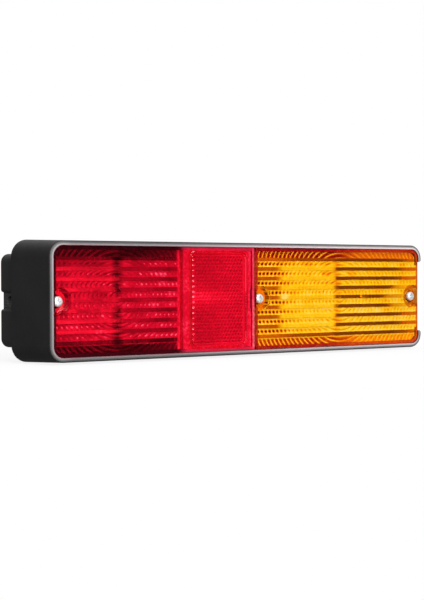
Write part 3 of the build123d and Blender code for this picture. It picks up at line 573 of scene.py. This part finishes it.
def patchy(X, Z, sx, sz, amount):
    """Slow random unevenness of a moulding, the same on every run."""
    gx = RNG.normal(size=(64, 64))
    u, v = X / sx + 20.0, Z / sz + 20.0
    i, j = np.floor(u).astype(int), np.floor(v).astype(int)
    fu, fv = u - i, v - j
    fu, fv = fu * fu * (3 - 2 * fu), fv * fv * (3 - 2 * fv)
    g = lambda a, b: gx[a % 64, b % 64]
    return amount * ((g(i, j) * (1 - fu) + g(i + 1, j) * fu) * (1 - fv) + (g(i, j + 1) * (1 - fu) + g(i + 1, j + 1) * fu) * fv)


def amber_pattern(X, Z):
    cx = BULB["amber"]
    rows = row_mask(Z)
    ridge_highlight = crest_highlight(X, Z, cx)
    mid_row = np.clip(1.15 - np.abs(row_phase(Z) - ROW / 2) / 1.2, 0, 1)
    left = 1 - smooth(18.0, 46.0, X)
    valley_shade = 1 - crest_highlight(X, Z, cx, power=0.6) * (1 - left) - crest_highlight(X, Z, cx, power=1.1) * left
    right = smooth(cx - 8, cx - 2, X)
    # painted light: the brightness seen through the lens, lower at the left end, higher towards the bottom, with
    # painted highlights on the ring crests
    painted_tone = 0.83 - 0.08 * left - 0.035 + 0.065 * smooth(8.0, -12.0, Z) + (0.035 + 0.12 * left) * ridge_highlight + patchy(X, Z, 9.0, 3.5, 0.05)
    # painted shade in the hollows between the crests
    painted_tone -= valley_shade * mid_row * (0.26 + 0.16 * (1 - right) + 0.73 * left)
    # painted shade where the rings close on the bulb axis
    painted_tone -= 0.16 * bump_1d(X, cx - 3.0, 5.0)
    rib = 0.90 * rows
    # plain bars: the dark chamber shows through them, less so beside the partition and at the outboard end, where
    # painted light is laid over them
    bar_rib = 0.20 + 0.36 * left + 0.16 * (1 - right) * (np.abs(Z) > 22.5)
    # painted light at the outboard end
    glow_end = smooth(126.0, 138.0, X - 1.2 * np.abs(Z + 1.0)) * (np.abs(Z) < 12) + 0.5 * smooth(140.0, 165.0, X)
    bar_rib = np.clip(bar_rib + 0.45 * glow_end, 0, 0.8)
    # painted light: the bars are made bright where the lit reflector plate lies behind them
    plate = smooth(21.0, 30.0, X) * (1 - right) * (np.abs(Z) < 23.6)
    bar_rib = np.clip(bar_rib + 0.62 * plate * (0.55 + 0.45 * smooth(28.0, 46.0, X)), 0, 0.85)
    rib = np.where(rows > 0.5, rib, bar_rib)
    painted_tone = np.where(rows > 0.5, painted_tone, 0.42 + 0.18 * glow_end + (0.33 + 0.03 * smooth(4.0, -10.0, Z)) * plate + 0.03 * ridge_highlight)
    # painted highlight: a small bright picture of the bulb beside the partition
    bulb_glint = np.exp(-((X - 31.0) / 3.4) ** 2 - ((Z - 1.8) / 2.8) ** 2)
    painted_tone = painted_tone + 0.42 * bulb_glint
    rib = np.maximum(rib, 0.92 * (bulb_glint > 0.35))
    # outer rows: painted highlight lines on a painted dark field, the shade near the top and bottom
    outer = smooth(29.0, 30.2, np.abs(Z))
    shaded_ground = 0.12 + 0.32 * smooth(cx - 10, cx + 25, X) + 0.12 * (Z < 0)
    shaded_ground = np.where(np.abs(Z) > 34.9, 0.21 + 0.13 * smooth(cx - 40, cx + 40, X) + 0.08 * (Z < 0), shaded_ground)
    line = crest_highlight(X, Z, cx, power=3.6) * (0.86 - 0.60 * smooth(cx - 8, cx + 8, X))
    band = np.clip((34.9 - np.abs(Z)) / 0.8, 0, 1)
    painted_tone = painted_tone * (1 - outer) + outer * (shaded_ground + line * band + 0.0 * Z)
    rib = rib * (1 - outer) + outer * 0.86
    # seats round the screws, given a flat painted brightness
    for s, k in (("middle", 0.62), ("right", 0.55)):
        d = np.hypot(X - SCREWS[s], Z)
        near = 1 - smooth(8.2, 9.2, d)
        painted_tone = painted_tone * (1 - near) + near * k
        rib = rib * (1 - near) + near * 0.45
    return np.clip(rib, 0, 1), np.clip(painted_tone, 0, 1)


def red_pattern(X, Z):
    cx = BULB["red"]
    rows = row_mask(Z)
    valley_shade = 1 - crest_highlight(X, Z, cx, power=0.6)
    mid_row = np.clip(1 - np.abs(row_phase(Z) - ROW / 2) / 1.1, 0, 1)
    right = smooth(cx - 2, cx + 3, X)
    low = smooth(4.0, -14.0, Z)
    high = smooth(-6.0, 12.0, Z)
    # painted light: the brightness seen through the lens, darker towards the outboard end, brighter right of the bulb
    # axis
    painted_tone = 0.69 + patchy(X, Z, 8.0, 3.5, 0.065) - 0.07 * smooth(LENS_L + 22, LENS_L + 4, X) + 0.07 * right
    # painted shade in the hollows of the upper rows
    painted_tone -= valley_shade * mid_row * 0.34 * high * (1 - right)
    # painted highlights: small sparkles on the ring crests
    painted_sparkle = np.clip(patchy(X, Z, 2.6, 3.5, 0.50) + 0.60, 0, 1)
    painted_tone += crest_highlight(X, Z, cx, power=3.0) * mid_row * painted_sparkle * (0.62 * low * (1 - right) + 0.34 * high * (1 - right) * smooth(cx - 34, cx - 14, X) + 0.52 * right * smooth(cx + 2, cx + 24, X) + 0.16)
    rib = 0.82 * rows
    # painted light on the plain bars, with painted shade in the outer bars
    painted_bar_tone = 0.74 - 0.15 * right - 0.10 * right * smooth(LENS_L + 70, LENS_L + 96, X) + patchy(X, Z, 12.0, 3.5, 0.06)
    painted_bar_tone = painted_bar_tone - (0.30 - 0.10 * right) * (np.abs(Z) > 26.0)
    # painted shade near the top
    painted_tone = painted_tone - (0.10 - 0.05 * right) * smooth(21.0, 24.0, Z)
    rib = np.where(rows > 0.5, rib, 0.60 + 0.14 * right)
    painted_tone = np.where(rows > 0.5, painted_tone, painted_bar_tone)
    # a painted dark band of shade where the rings close on the bulb axis
    shade_stripe = bump_1d(X, cx - 0.4, 5.4)
    painted_tone = painted_tone - 0.44 * shade_stripe * smooth(1.0, 6.0, np.abs(Z))
    # outer rows: painted highlight lines on a painted dark field, the shade near the top and bottom
    outer = smooth(29.0, 30.2, np.abs(Z))
    near_end = smooth(LENS_L + 26, LENS_L + 4, X)
    line = crest_highlight(X, Z, cx, power=2.2) * (0.42 - 0.26 * right)
    shaded_ground = 0.06 + 0.22 * smooth(cx + 10, cx + 50, X)
    band = np.clip((34.9 - np.abs(Z)) / 0.8, 0, 1)
    painted_tone = painted_tone * (1 - outer) + outer * (shaded_ground + line * band)
    rib = rib * (1 - outer) + outer * 0.88
    # beside and beyond the inner wall the lens is painted evenly bright
    plain = smooth(-68.4, -66.8, X)
    painted_tone = painted_tone * (1 - plain) + plain * (0.81 + 0.035 * smooth(-8, -3, X) + patchy(X, Z, 5.0, 9.0, 0.02))
    rib = rib * (1 - plain) + plain * 0.94
    # the seat round the screw is given a flat painted brightness
    d = np.hypot(X - SCREWS["left"], Z)
    near = 1 - smooth(8.2, 9.2, d)
    painted_tone = painted_tone * (1 - near) + near * 0.66
    rib = rib * (1 - near) + near * 0.5
    return np.clip(rib, 0, 1), np.clip(painted_tone, 0, 1)


bars = [BAR_AT + ROW * k for k in range(-6, 6)]
z_extra = sorted([b + s * (BAR_HALF + e) for b in bars for s in (-1, 1) for e in (-0.16, 0.16)] +
                 [s * v for s in (-1, 1) for v in (LENS_T - 2.0, LENS_T - 2.12, LENS_T)])
STEP = 0.5

# ---- red lens
xr = [LENS_L, LENS_L + 2.0, LENS_L + 2.12, -66.0, -65.88, -62.62, -62.5, -1.52, -1.4, RED_EDGE, RED_EDGE + 0.1, 16.0]
xs = axis_lines(LENS_L, 16.0, STEP, xr)
zs = axis_lines(-LENS_T, LENS_T, STEP, z_extra)
X, Z = np.meshgrid(xs, zs, indexing="ij")
X, Z = corner_warp(X, Z, LENS_L, -1)
X, Z = snap_circle(X, Z, SCREWS["left"], 0, 7.5, STEP)
X, Z = snap_circle(X, Z, SCREWS["left"], 0, 2.1, STEP, 0.0)
X, Z = snap_circle(X, Z, SCREWS["middle"], 0, 2.1, STEP, 0.0)
WW, WH = 50.0, 66.0
X, Z = snap_round_rect(X, Z, CX_REFLEX, 0, WW, WH, 4.5, STEP, 0.0)
X, Z = snap_round_rect(X, Z, CX_REFLEX, 0, WW + 3.2, WH + 3.0, 6.0, STEP)
X, Z = snap_round_rect(X, Z, 7.3, 0, 17.4, 18.0, 3.0, STEP, 0.0)
Xc = (X[:-1, :-1] + X[1:, :-1] + X[1:, 1:] + X[:-1, 1:]) / 4
Zc = (Z[:-1, :-1] + Z[1:, :-1] + Z[1:, 1:] + Z[:-1, 1:]) / 4
tongue = sd_round_rect(Xc, Zc, 7.3, 0, 17.4, 18.0, 3.0) < 0
keep = (Xc < RED_EDGE + 0.02) | tongue
keep &= sd_round_rect(Xc, Zc, CX_REFLEX, 0, WW, WH, 4.5) > 0
for s in ("left", "middle"):
    keep &= np.hypot(Xc - SCREWS[s], Zc) > 2.1
y_out = np.full(X.shape, Y_FACE)
pocket = (np.hypot(X - SCREWS["left"], Z) < 7.5) & (X > LENS_L + 1.2)
y_out[pocket] = Y_SEAT
frame_band = (sd_round_rect(X, Z, CX_REFLEX, 0, WW + 3.2, WH + 3.0, 6.0) < 0)
y_out[frame_band] = Y_FACE - 0.6
y_out[X > RED_EDGE + 0.05] = -58.5
corner_d = CORNER - np.hypot(np.minimum(X - (LENS_L + CORNER), 0), np.maximum(np.abs(Z) - (LENS_T - CORNER), 0))
in_corner = (X < LENS_L + CORNER) & (np.abs(Z) > LENS_T - CORNER)
edge_d = np.minimum(X - LENS_L, LENS_T - np.abs(Z))
edge_d = np.where(in_corner, corner_d, edge_d)
edge_d = np.minimum(edge_d, np.where(X < RED_EDGE + 0.01, RED_EDGE - X, 0.0))
field = (edge_d > 2.06) & (X < -66.0)
rib, painted_tone = red_pattern(X, Z)
relief = np.where(field, rings(X, Z, BULB["red"]) * row_mask(Z) * 0.95, 0.0)
seat = np.hypot(X - SCREWS["left"], Z) < 9.0
relief[seat] = 0
y_in = Y_INNER + relief
y_in[edge_d < 2.06] = Y_SKIRT
y_in[(X > -65.94) & (X < -62.56) & (edge_d > 2.06)] = Y_SKIRT - 0.2
y_in[seat] = Y_SKIRT
y_in[X > RED_EDGE - 2.0] = Y_SKIRT
# the solid skirt shows as an edge band of painted light: painted shade round the chamber, painted brightness beside
# the reflector
edge = edge_d < 2.06
painted_band_tone = 0.05 + 0.05 * (Z < 0) + 0.60 * smooth(-70.0, -60.0, X) + 0.15 * smooth(RED_EDGE - 2.2, RED_EDGE - 1.8, X)
painted_tone = np.where(edge, painted_band_tone, painted_tone)
rib_out = np.where(edge & (X < RED_EDGE + 0.02), 0.8, 0.0)
red_lens = height_solid("red_lens_moulding", X, Z, y_out, y_in, keep, rib, painted_tone, MAT["red"], "red_lens", rib_out)
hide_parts("red_lens")

# ---- amber lens
xa = [AMBER_EDGE, AMBER_EDGE + 2.0, AMBER_EDGE + 2.12, 166.4, 166.5, LENS_R, LENS_R + 0.12, SIDE_X - 2.62, SIDE_X - 2.5, SIDE_X]
za = z_extra + [s * v for s in (-1, 1) for v in (WIN, WIN - 2.0, WIN - 2.12)]
xs = axis_lines(AMBER_EDGE, SIDE_X, STEP * 1.22, xa)
zs = axis_lines(-LENS_T, LENS_T, STEP, sorted(za))
X, Z = np.meshgrid(xs, zs, indexing="ij")
X, Z = corner_warp(X, Z, LENS_R, 1)
for s in ("middle", "right"):
    X, Z = snap_circle(X, Z, SCREWS[s], 0, 7.5, STEP)
    X, Z = snap_circle(X, Z, SCREWS[s], 0, 2.1, STEP, 0.0)
X, Z = snap_circle(X, Z, SCREWS["right"], 0, 5.3, STEP)
Xc = (X[:-1, :-1] + X[1:, :-1] + X[1:, 1:] + X[:-1, 1:]) / 4
Zc = (Z[:-1, :-1] + Z[1:, :-1] + Z[1:, 1:] + Z[:-1, 1:]) / 4
keep = (Xc < LENS_R) | (np.abs(Zc) < WIN)
for s in ("middle", "right"):
    keep &= np.hypot(Xc - SCREWS[s], Zc) > 2.1
y_out = np.full(X.shape, Y_FACE)
dm, dr = np.hypot(X - SCREWS["middle"], Z), np.hypot(X - SCREWS["right"], Z)
y_out[(dm < 7.5) & (X > AMBER_EDGE + 1.2)] = Y_SEAT
y_out[(dr < 7.5) & (X < SIDE_X - 2.2)] = Y_SEAT
corner_d = CORNER - np.hypot(np.maximum(X - (LENS_R - CORNER), 0), np.maximum(np.abs(Z) - (LENS_T - CORNER), 0))
in_corner = (X > LENS_R - CORNER) & (np.abs(Z) > LENS_T - CORNER)
edge_d = np.minimum(X - AMBER_EDGE, LENS_T - np.abs(Z))
edge_d = np.where(in_corner, corner_d, edge_d)
outside_win = np.abs(Z) > WIN - 1e-6
edge_d = np.where(outside_win, np.minimum(edge_d, np.maximum(LENS_R - X, 0)), edge_d)
field = (edge_d > 2.06) & (X < 166.0) & (X > AMBER_EDGE + 3.0)
rib, painted_tone = amber_pattern(X, Z)
relief = np.where(field, rings(X, Z, BULB["amber"]) * row_mask(Z) * 0.95, 0.0)
seat = (dm < 9.0) | (dr < 9.0)
relief[seat] = 0
y_in = Y_INNER + relief
y_in[seat] = Y_SEAT + 1.5
y_in[dr < 5.3] = -54.6
skirt = edge_d < 2.06
y_in[skirt] = Y_SKIRT
side = (np.abs(Z) < WIN + 1e-6) & (X > 166.45) & ((np.abs(Z) > WIN - 2.06) | (X > SIDE_X - 2.56))
y_in[side] = -46.1
over_tongue = skirt & (X < AMBER_EDGE + 2.06) & (np.abs(Z) < 9.5)
y_in[over_tongue] = -58.6
beyond = X > LENS_R - 0.01
y_out = np.where(beyond, np.maximum(y_out, Y_FACE + (X - LENS_R)), y_out)
rib_out = np.where(X > LENS_R + 0.3, 0.45, 0.0) * (np.abs(Z) < WIN + 0.01)
# painted light: the side block is given a flat brightness
painted_tone = np.where(X > LENS_R - 0.5, 0.50, painted_tone)
# painted light on the skirt edge band: brighter towards the right and the bottom
edge = skirt & (X < LENS_R - 0.5)
along_edge = smooth(60.0, 110.0, X)
painted_band_tone = 0.17 + 0.10 * along_edge + 0.07 * (Z < 0)
painted_band_tone = np.where(X < AMBER_EDGE + 2.06, 0.20, painted_band_tone)
painted_tone = np.where(edge, painted_band_tone, painted_tone)
rib_out = np.where(edge, 0.8, rib_out)
amber_lens = height_solid("amber_lens_moulding", X, Z, y_out, y_in, keep, rib, painted_tone, MAT["amber"], "amber_lens", rib_out)
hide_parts("amber_lens")


# ---- reflex panel: smooth face, three-sided prisms moulded into the back
P_LO, P_HI = box_mm("reflex_reflector")
xs = axis_lines(P_LO[0], P_HI[0], 0.40, [P_LO[0], P_HI[0]])
zs = axis_lines(P_LO[2], P_HI[2], 0.40, [P_LO[2], P_HI[2]])
X, Z = np.meshgrid(xs, zs, indexing="ij")
PW, PH = 49.6, 65.6
X, Z = snap_round_rect(X, Z, CX_REFLEX, 0, PW, PH, 4.3, 0.4, 0.06)
sd = sd_round_rect(X, Z, CX_REFLEX, 0, PW, PH, 4.3)
beads = np.clip(1.8 * (1 - np.abs(2 * (Z / 3.7 % 1.0) - 1)) - 0.5, 0, 1)
bevel = np.where(X < CX_REFLEX - 22.0, 0.12 + 0.43 * beads, 0.55)
y_out = np.where(sd < 0, P_LO[1] + bevel * smooth(-0.8, 0.0, sd) ** 2, -62.7)
PITCH = 2.4
facet = []
for k in range(3):
    a = math.radians(90 + 120 * k)
    facet.append(1 - np.abs(2 * (((X - CX_REFLEX) * math.cos(a) + Z * math.sin(a)) / PITCH % 1.0) - 1))
facet = np.stack(facet)
prism = facet.min(axis=0)
lit = facet.argmin(axis=0)
prism_zone = smooth(-2.2, -2.6, sd)
y_in = np.where(sd < 0, P_HI[1] - 0.35 - 1.5 * prism * prism_zone, P_HI[1])
U = (X - P_LO[0]) / (P_HI[0] - P_LO[0])
# painted light: the brightness of the prism panel, a little higher to the right
painted_tone = 0.665 + 0.03 * smooth(0.35, 0.75, U) + patchy(X, Z, 6.0, 9.0, 0.018)
# painted light and shade on the prism facets by the way they face
painted_tone += np.where(lit == 0, 0.05, np.where(lit == 1, 0.0, -0.06 - 0.10 * smooth(0.3, 0.8, U))) * prism_zone
# painted highlight band across the middle
painted_tone += 0.135 * np.clip(1.5 * np.exp(-((Z - 2.0) / 3.4) ** 2), 0, 1) * (1 - 0.75 * smooth(0.25, 0.9, U))
# painted shade above and below it at the left
painted_tone -= 0.07 * smooth(6.0, 14.0, np.abs(Z - 2.3)) * (1 - smooth(0.25, 0.6, U))
# painted glint along the inner edge of the border
edge_glint = np.exp(-((sd + 1.9) / 0.55) ** 2)
painted_tone += 0.10 * edge_glint
# painted highlights on the beads along the left edge
bead_glints = np.clip(1.6 * bump_1d(X, CX_REFLEX - 22.4, 2.4), 0, 1) * np.clip(2.2 * (1 - np.abs(2 * (Z / 3.7 % 1.0) - 1)) - 0.9, 0, 1) * (np.abs(Z) < 29)
painted_tone += 0.32 * bead_glints
panel = height_solid("reflex_panel", X, Z, y_out, y_in, np.ones((X.shape[0] - 1, X.shape[1] - 1), bool),
                     np.full(X.shape, 0.90), np.clip(painted_tone, 0, 1), MAT["red"], "red_lens")
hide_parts("reflex_reflector")


# ============================================================ threads and springs
def mesh_object(name, verts, faces, mat, parent, smooth_angle=35.0):
    mesh = bpy.data.meshes.new(name)
    mesh.from_pydata([tuple(c * MM for c in v) for v in verts], [], faces)
    mesh.update()
    mesh.materials.append(mat)
    bm = bmesh.new()
    bm.from_mesh(mesh)
    bmesh.ops.remove_doubles(bm, verts=bm.verts, dist=1e-7)
    bmesh.ops.recalc_face_normals(bm, faces=bm.faces)
    for f in bm.faces:
        f.smooth = True
    for e in bm.edges:
        e.smooth = not (len(e.link_faces) == 2 and e.calc_face_angle(0.0) > math.radians(smooth_angle))
    bm.to_mesh(mesh)
    bm.free()
    obj = bpy.data.objects.new(name, mesh)
    bpy.context.scene.collection.objects.link(obj)
    if parent:
        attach(obj, parent)
    return obj


def lathe_y(rings_list, x0, z0, sides):
    """Verts and faces of a closed form made of rings across the Y axis.
    Each ring is (y, radius function of the angle)."""
    verts, faces = [], []
    for y, radius in rings_list:
        for k in range(sides):
            a = 2 * math.pi * k / sides
            r = radius(a)
            verts.append((x0 + r * math.cos(a), y, z0 + r * math.sin(a)))
    n = len(rings_list)
    for i in range(n - 1):
        for k in range(sides):
            a, b = i * sides + k, i * sides + (k + 1) % sides
            faces.append((a, b, b + sides, a + sides))
    faces.append(tuple(range(sides)))
    faces.append(tuple((n - 1) * sides + k for k in reversed(range(sides))))
    return verts, faces


def merge(parts):
    verts, faces = [], []
    for v, f in parts:
        o = len(verts)
        verts += v
        faces += [tuple(i + o for i in face) for face in f]
    return verts, faces


def thread_rings(y0, y1, r_major, pitch, depth, lead_in=0.8, step=0.14):
    out = []
    for y in np.arange(y0, y1 + 1e-6, step):
        end = min(1.0, (y1 - y) / lead_in)
        top = r_major - (1 - end) * lead_in if end < 1 else r_major

        def radius(a, y=y, top=top):
            u = (y / pitch - a / (2 * math.pi)) % 1.0
            return min(top, r_major - depth * abs(2 * u - 1) ** 0.85)

        out.append((float(y), radius))
    return out


S_LO, S_HI = box_mm("mounting_studs")
stud_x = S_HI[0] - 5.77 if S_HI[0] > 0 else 150.0
stud_x = 150.0
HEX_R = 10.0 / math.sqrt(3)


def hexagon(a):
    t = (a + math.pi / 6) % (math.pi / 3) - math.pi / 6
    return 5.0 / math.cos(t)


studs = []
for sx in (-stud_x, stud_x):
    y_head = float(S_LO[1])
    head = [(y_head, lambda a: 4.5), (y_head + 0.35, lambda a: hexagon(a) * 0.985), (y_head + 3.7, hexagon), (y_head + 4.0, lambda a: hexagon(a) * 0.97),
            (y_head + 4.0, lambda a: 2.7), (-0.05, lambda a: 2.7)]
    studs.append(lathe_y(head + thread_rings(0.0, float(S_HI[1]), 3.0, 1.0, 0.55), sx, 0.0, 36))
v, f = merge(studs)
stud_piece = mesh_object("threaded_studs", v, f, MAT["stud"], "housing")
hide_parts("mounting_studs")

# lens screws: pan head as designed, with a rolled thread of 1.3 mm pitch on the shank
for s in ("left", "middle", "right"):
    node = NODES["lens_screw_" + s]
    lo, hi = box_mm("lens_screw_" + s)
    under = float(lo[1]) + 2.6
    bm = bmesh.new()
    bm.from_mesh(node.data)
    bm.transform(node.matrix_world)
    bmesh.ops.remove_doubles(bm, verts=bm.verts, dist=1e-7)
    bmesh.ops.bisect_plane(bm, geom=bm.verts[:] + bm.edges[:] + bm.faces[:], dist=1e-8,
                           plane_co=(0, (under - 0.03) * MM, 0), plane_no=(0, 1, 0), clear_outer=True)
    bmesh.ops.holes_fill(bm, edges=[e for e in bm.edges if e.is_boundary], sides=0)
    bm.verts.ensure_lookup_table()
    head = ([tuple(v.co / MM) for v in bm.verts], [tuple(v.index for v in fc.verts) for fc in bm.faces])
    bm.free()
    shank = lathe_y([(under - 0.5, lambda a: 1.2), (under - 0.05, lambda a: 1.2)] +
                    thread_rings(under, float(hi[1]), 1.75, 1.3, 0.42, lead_in=1.1, step=0.13), SCREWS[s], 0.0, 32)
    v, f = merge([head, shank])
    screw = mesh_object("pan_screw_" + s, v, f, MAT["zinc"], "lens_screw_" + s, 30.0)
    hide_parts("lens_screw_" + s)

for c in ("red", "amber"):
    lo, hi = box_mm("contact_springs_" + c)
    wire = 0.25
    width = hi[2] - lo[2]
    mean_r = width / 2 - wire
    offs = (-3.3, 3.3) if c == "red" else (0.0,)
    parts = []
    for o in offs:
        centre = BULB[c] + o
        turns, per = 5.0, 28
        n = int(turns * per)
        ring, sides = [], 10
        verts, faces = [], []
        for i in range(n + 1):
            t = i / n
            a = 2 * math.pi * turns * t
            flat = min(1.0, t / 0.16, (1 - t) / 0.16)
            y = lo[1] + wire + (hi[1] - lo[1] - 2 * wire) * (t if flat >= 1 else t)
            cpos = Vector((centre + mean_r * math.cos(a), y, mean_r * math.sin(a)))
            out_dir = Vector((math.cos(a), 0, math.sin(a)))
            along = Vector((-math.sin(a) * mean_r * 2 * math.pi * turns, hi[1] - lo[1], math.cos(a) * mean_r * 2 * math.pi * turns)).normalized()
            up = out_dir.cross(along).normalized()
            for k in range(sides):
                b = 2 * math.pi * k / sides
                q = cpos + wire * (math.cos(b) * out_dir + math.sin(b) * up)
                q.y = min(max(q.y, lo[1]), hi[1])
                verts.append(tuple(q))
        for i in range(n):
            for k in range(sides):
                a0, b0 = i * sides + k, i * sides + (k + 1) % sides
                faces.append((a0, b0, b0 + sides, a0 + sides))
        faces.append(tuple(range(sides)))
        faces.append(tuple(n * sides + k for k in reversed(range(sides))))
        parts.append((verts, faces))
    v, f = merge(parts)
    coil = mesh_object("contact_spring_coils_" + c, v, f, MAT["spring"], "housing")
    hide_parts("contact_springs_" + c)
    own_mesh(coil)


# ============================================================ CAD node finishes
FINISH = {
    "housing": "housing", "rear_cover": "cover", "lens_gasket": "rubber", "cable_grommet": "grommet",
    "reflex_reflector": "red", "reflex_backing": "nylon",
    "cover_screws": "zinc", "mounting_studs": "stud", "plate_screws": "stud",
    "terminal_fixing_screw": "stud", "terminal_screws": "brass", "terminal_clamps": "brass",
    "terminal_block": "nylon", "earth_strip": "brass",
    "wire_tail": "pvc_brown", "wire_brake": "pvc_red", "wire_turn": "pvc_green", "wire_earth": "pvc_white",
}
for s in ("left", "middle", "right"):
    FINISH["lens_screw_" + s] = "zinc"
    FINISH["screw_seal_" + s] = "rubber"
for c in ("red", "amber"):
    FINISH.update({
        "reflector_plate_" + c: "tinplate", "bulb_holder_" + c: "stud", "holder_insulator_" + c: "fibre",
        "holder_tabs_" + c: "brass", "contact_disc_" + c: "fibre", "contact_pins_" + c: "brass",
        "contact_springs_" + c: "spring", "bulb_cap_" + c: "nickel", "bulb_glass_" + c: "glass",
        "bulb_filament_" + c: "tungsten",
    })
for node, key in FINISH.items():
    o = NODES[node]
    if not o.material_slots:
        o.data.materials.append(None)
    for sl in o.material_slots:
        sl.material = MAT[key]

# ============================================================ stage
floor_mesh = bpy.data.meshes.new("floor")
z_floor = cad_bounds[0][2] - 0.0002
floor_mesh.from_pydata([(-8, -8, z_floor), (8, -8, z_floor), (8, 8, z_floor), (-8, 8, z_floor)], [], [(0, 1, 2, 3)])
floor = bpy.data.objects.new("floor", floor_mesh)
bpy.context.scene.collection.objects.link(floor)
fm = Mat("pale_floor")
pale = fm.ramp(fm.noise(3.0, 2.0, 0.5), [(0.3, rgb(0.93, 0.93, 0.93)), (0.7, rgb(0.95, 0.95, 0.95))])
near_floor = fm.principled(pale, 0.7, 0.0, Specular_IOR_Level=0.0)
far_floor = fm.n("ShaderNodeEmission")
far_floor.inputs["Color"].default_value = (1, 1, 1, 1)
fc = fm.n("ShaderNodeTexCoord")
fl = fm.n("ShaderNodeVectorMath")
fl.operation = "LENGTH"
fm.link(fc.outputs["Object"], fl.inputs[0])
sweep = fm.n("ShaderNodeMixShader")
fm.link(fm.span(fl.outputs["Value"], 0.16, 0.36, 0.86, 1.0), sweep.inputs[0])
fm.link(near_floor, sweep.inputs[1])
fm.link(far_floor.outputs[0], sweep.inputs[2])
floor_mesh.materials.append(fm.done(sweep.outputs[0]))
floor.visible_glossy = False
floor.visible_diffuse = False
floor.visible_transmission = False


def area(name, loc, target, size, power, color=(1, 1, 1), size_y=None):
    light = bpy.data.lights.new(name, "AREA")
    light.energy = power
    light.color = color
    light.shape = "RECTANGLE"
    light.size = size
    light.size_y = size_y or size
    o = bpy.data.objects.new(name, light)
    o.location = loc
    o.rotation_euler = (Vector(target) - Vector(loc)).to_track_quat("-Z", "Y").to_euler()
    bpy.context.scene.collection.objects.link(o)
    return o


area("key_softbox", (-0.9, -1.5, 1.2), (0, -0.04, 0), 1.1, 28.0)
area("front_fill", (-0.15, -1.7, 0.35), (0, -0.04, 0), 0.9, 34.0)
area("top_softbox", (0.2, -0.1, 1.7), (0, 0, 0), 1.6, 10.0)
area("back_fill", (0.4, 1.6, 1.0), (0, 0, 0), 1.4, 6.0)

world = bpy.data.worlds.new("studio")
bpy.context.scene.world = world
world.use_nodes = True
wt = world.node_tree
wt.nodes.clear()
w_out = wt.nodes.new("ShaderNodeOutputWorld")
bg_seen = wt.nodes.new("ShaderNodeBackground")
bg_seen.inputs["Color"].default_value = (1, 1, 1, 1)
bg_seen.inputs["Strength"].default_value = 1.0
bg_light = wt.nodes.new("ShaderNodeBackground")
geo = wt.nodes.new("ShaderNodeNewGeometry")
dot = wt.nodes.new("ShaderNodeVectorMath")
dot.operation = "DOT_PRODUCT"
dot.inputs[1].default_value = (-0.62, 0.79, 0.0)
wt.links.new(geo.outputs["Incoming"], dot.inputs[0])
rng = wt.nodes.new("ShaderNodeMapRange")
rng.inputs[1].default_value = 0.55
rng.inputs[2].default_value = 0.9
rng.inputs[3].default_value = 0.26
rng.inputs[4].default_value = 0.03
wt.links.new(dot.outputs["Value"], rng.inputs[0])
wt.links.new(rng.outputs[0], bg_light.inputs["Strength"])
path = wt.nodes.new("ShaderNodeLightPath")
w_mix = wt.nodes.new("ShaderNodeMixShader")
wt.links.new(path.outputs["Is Camera Ray"], w_mix.inputs[0])
wt.links.new(bg_light.outputs[0], w_mix.inputs[1])
wt.links.new(bg_seen.outputs[0], w_mix.inputs[2])
wt.links.new(w_mix.outputs[0], w_out.inputs["Surface"])

# ============================================================ camera
cam_data = bpy.data.cameras.new("camera")
cam_data.lens = 86.46
cam_data.sensor_width = 36.0
cam_data.clip_start = 0.01
cam = bpy.data.objects.new("camera", cam_data)
az, el, roll = math.radians(-38.0), math.radians(0.93), math.radians(-0.18)
back = Vector((math.sin(az) * math.cos(el), -math.cos(az) * math.cos(el), math.sin(el)))
cam.location = (-0.663, Y_RIM * MM - 0.799, 0.016)
cam.rotation_euler = (-back).to_track_quat("-Z", "Y").to_euler()
bpy.context.scene.collection.objects.link(cam)
bpy.context.view_layer.update()
cam.rotation_euler.rotate_axis("Z", roll)
bpy.context.scene.camera = cam

sc = bpy.context.scene
sc.view_settings.view_transform = "Standard"
sc.view_settings.look = "None"
sc.cycles.max_bounces = 20
sc.cycles.transmission_bounces = 16
sc.cycles.transparent_max_bounces = 24
sc.cycles.glossy_bounces = 6
sc.cycles.diffuse_bounces = 4
sc.cycles.caustics_refractive = False
sc.cycles.caustics_reflective = False
sc.cycles.sample_clamp_indirect = 4.0
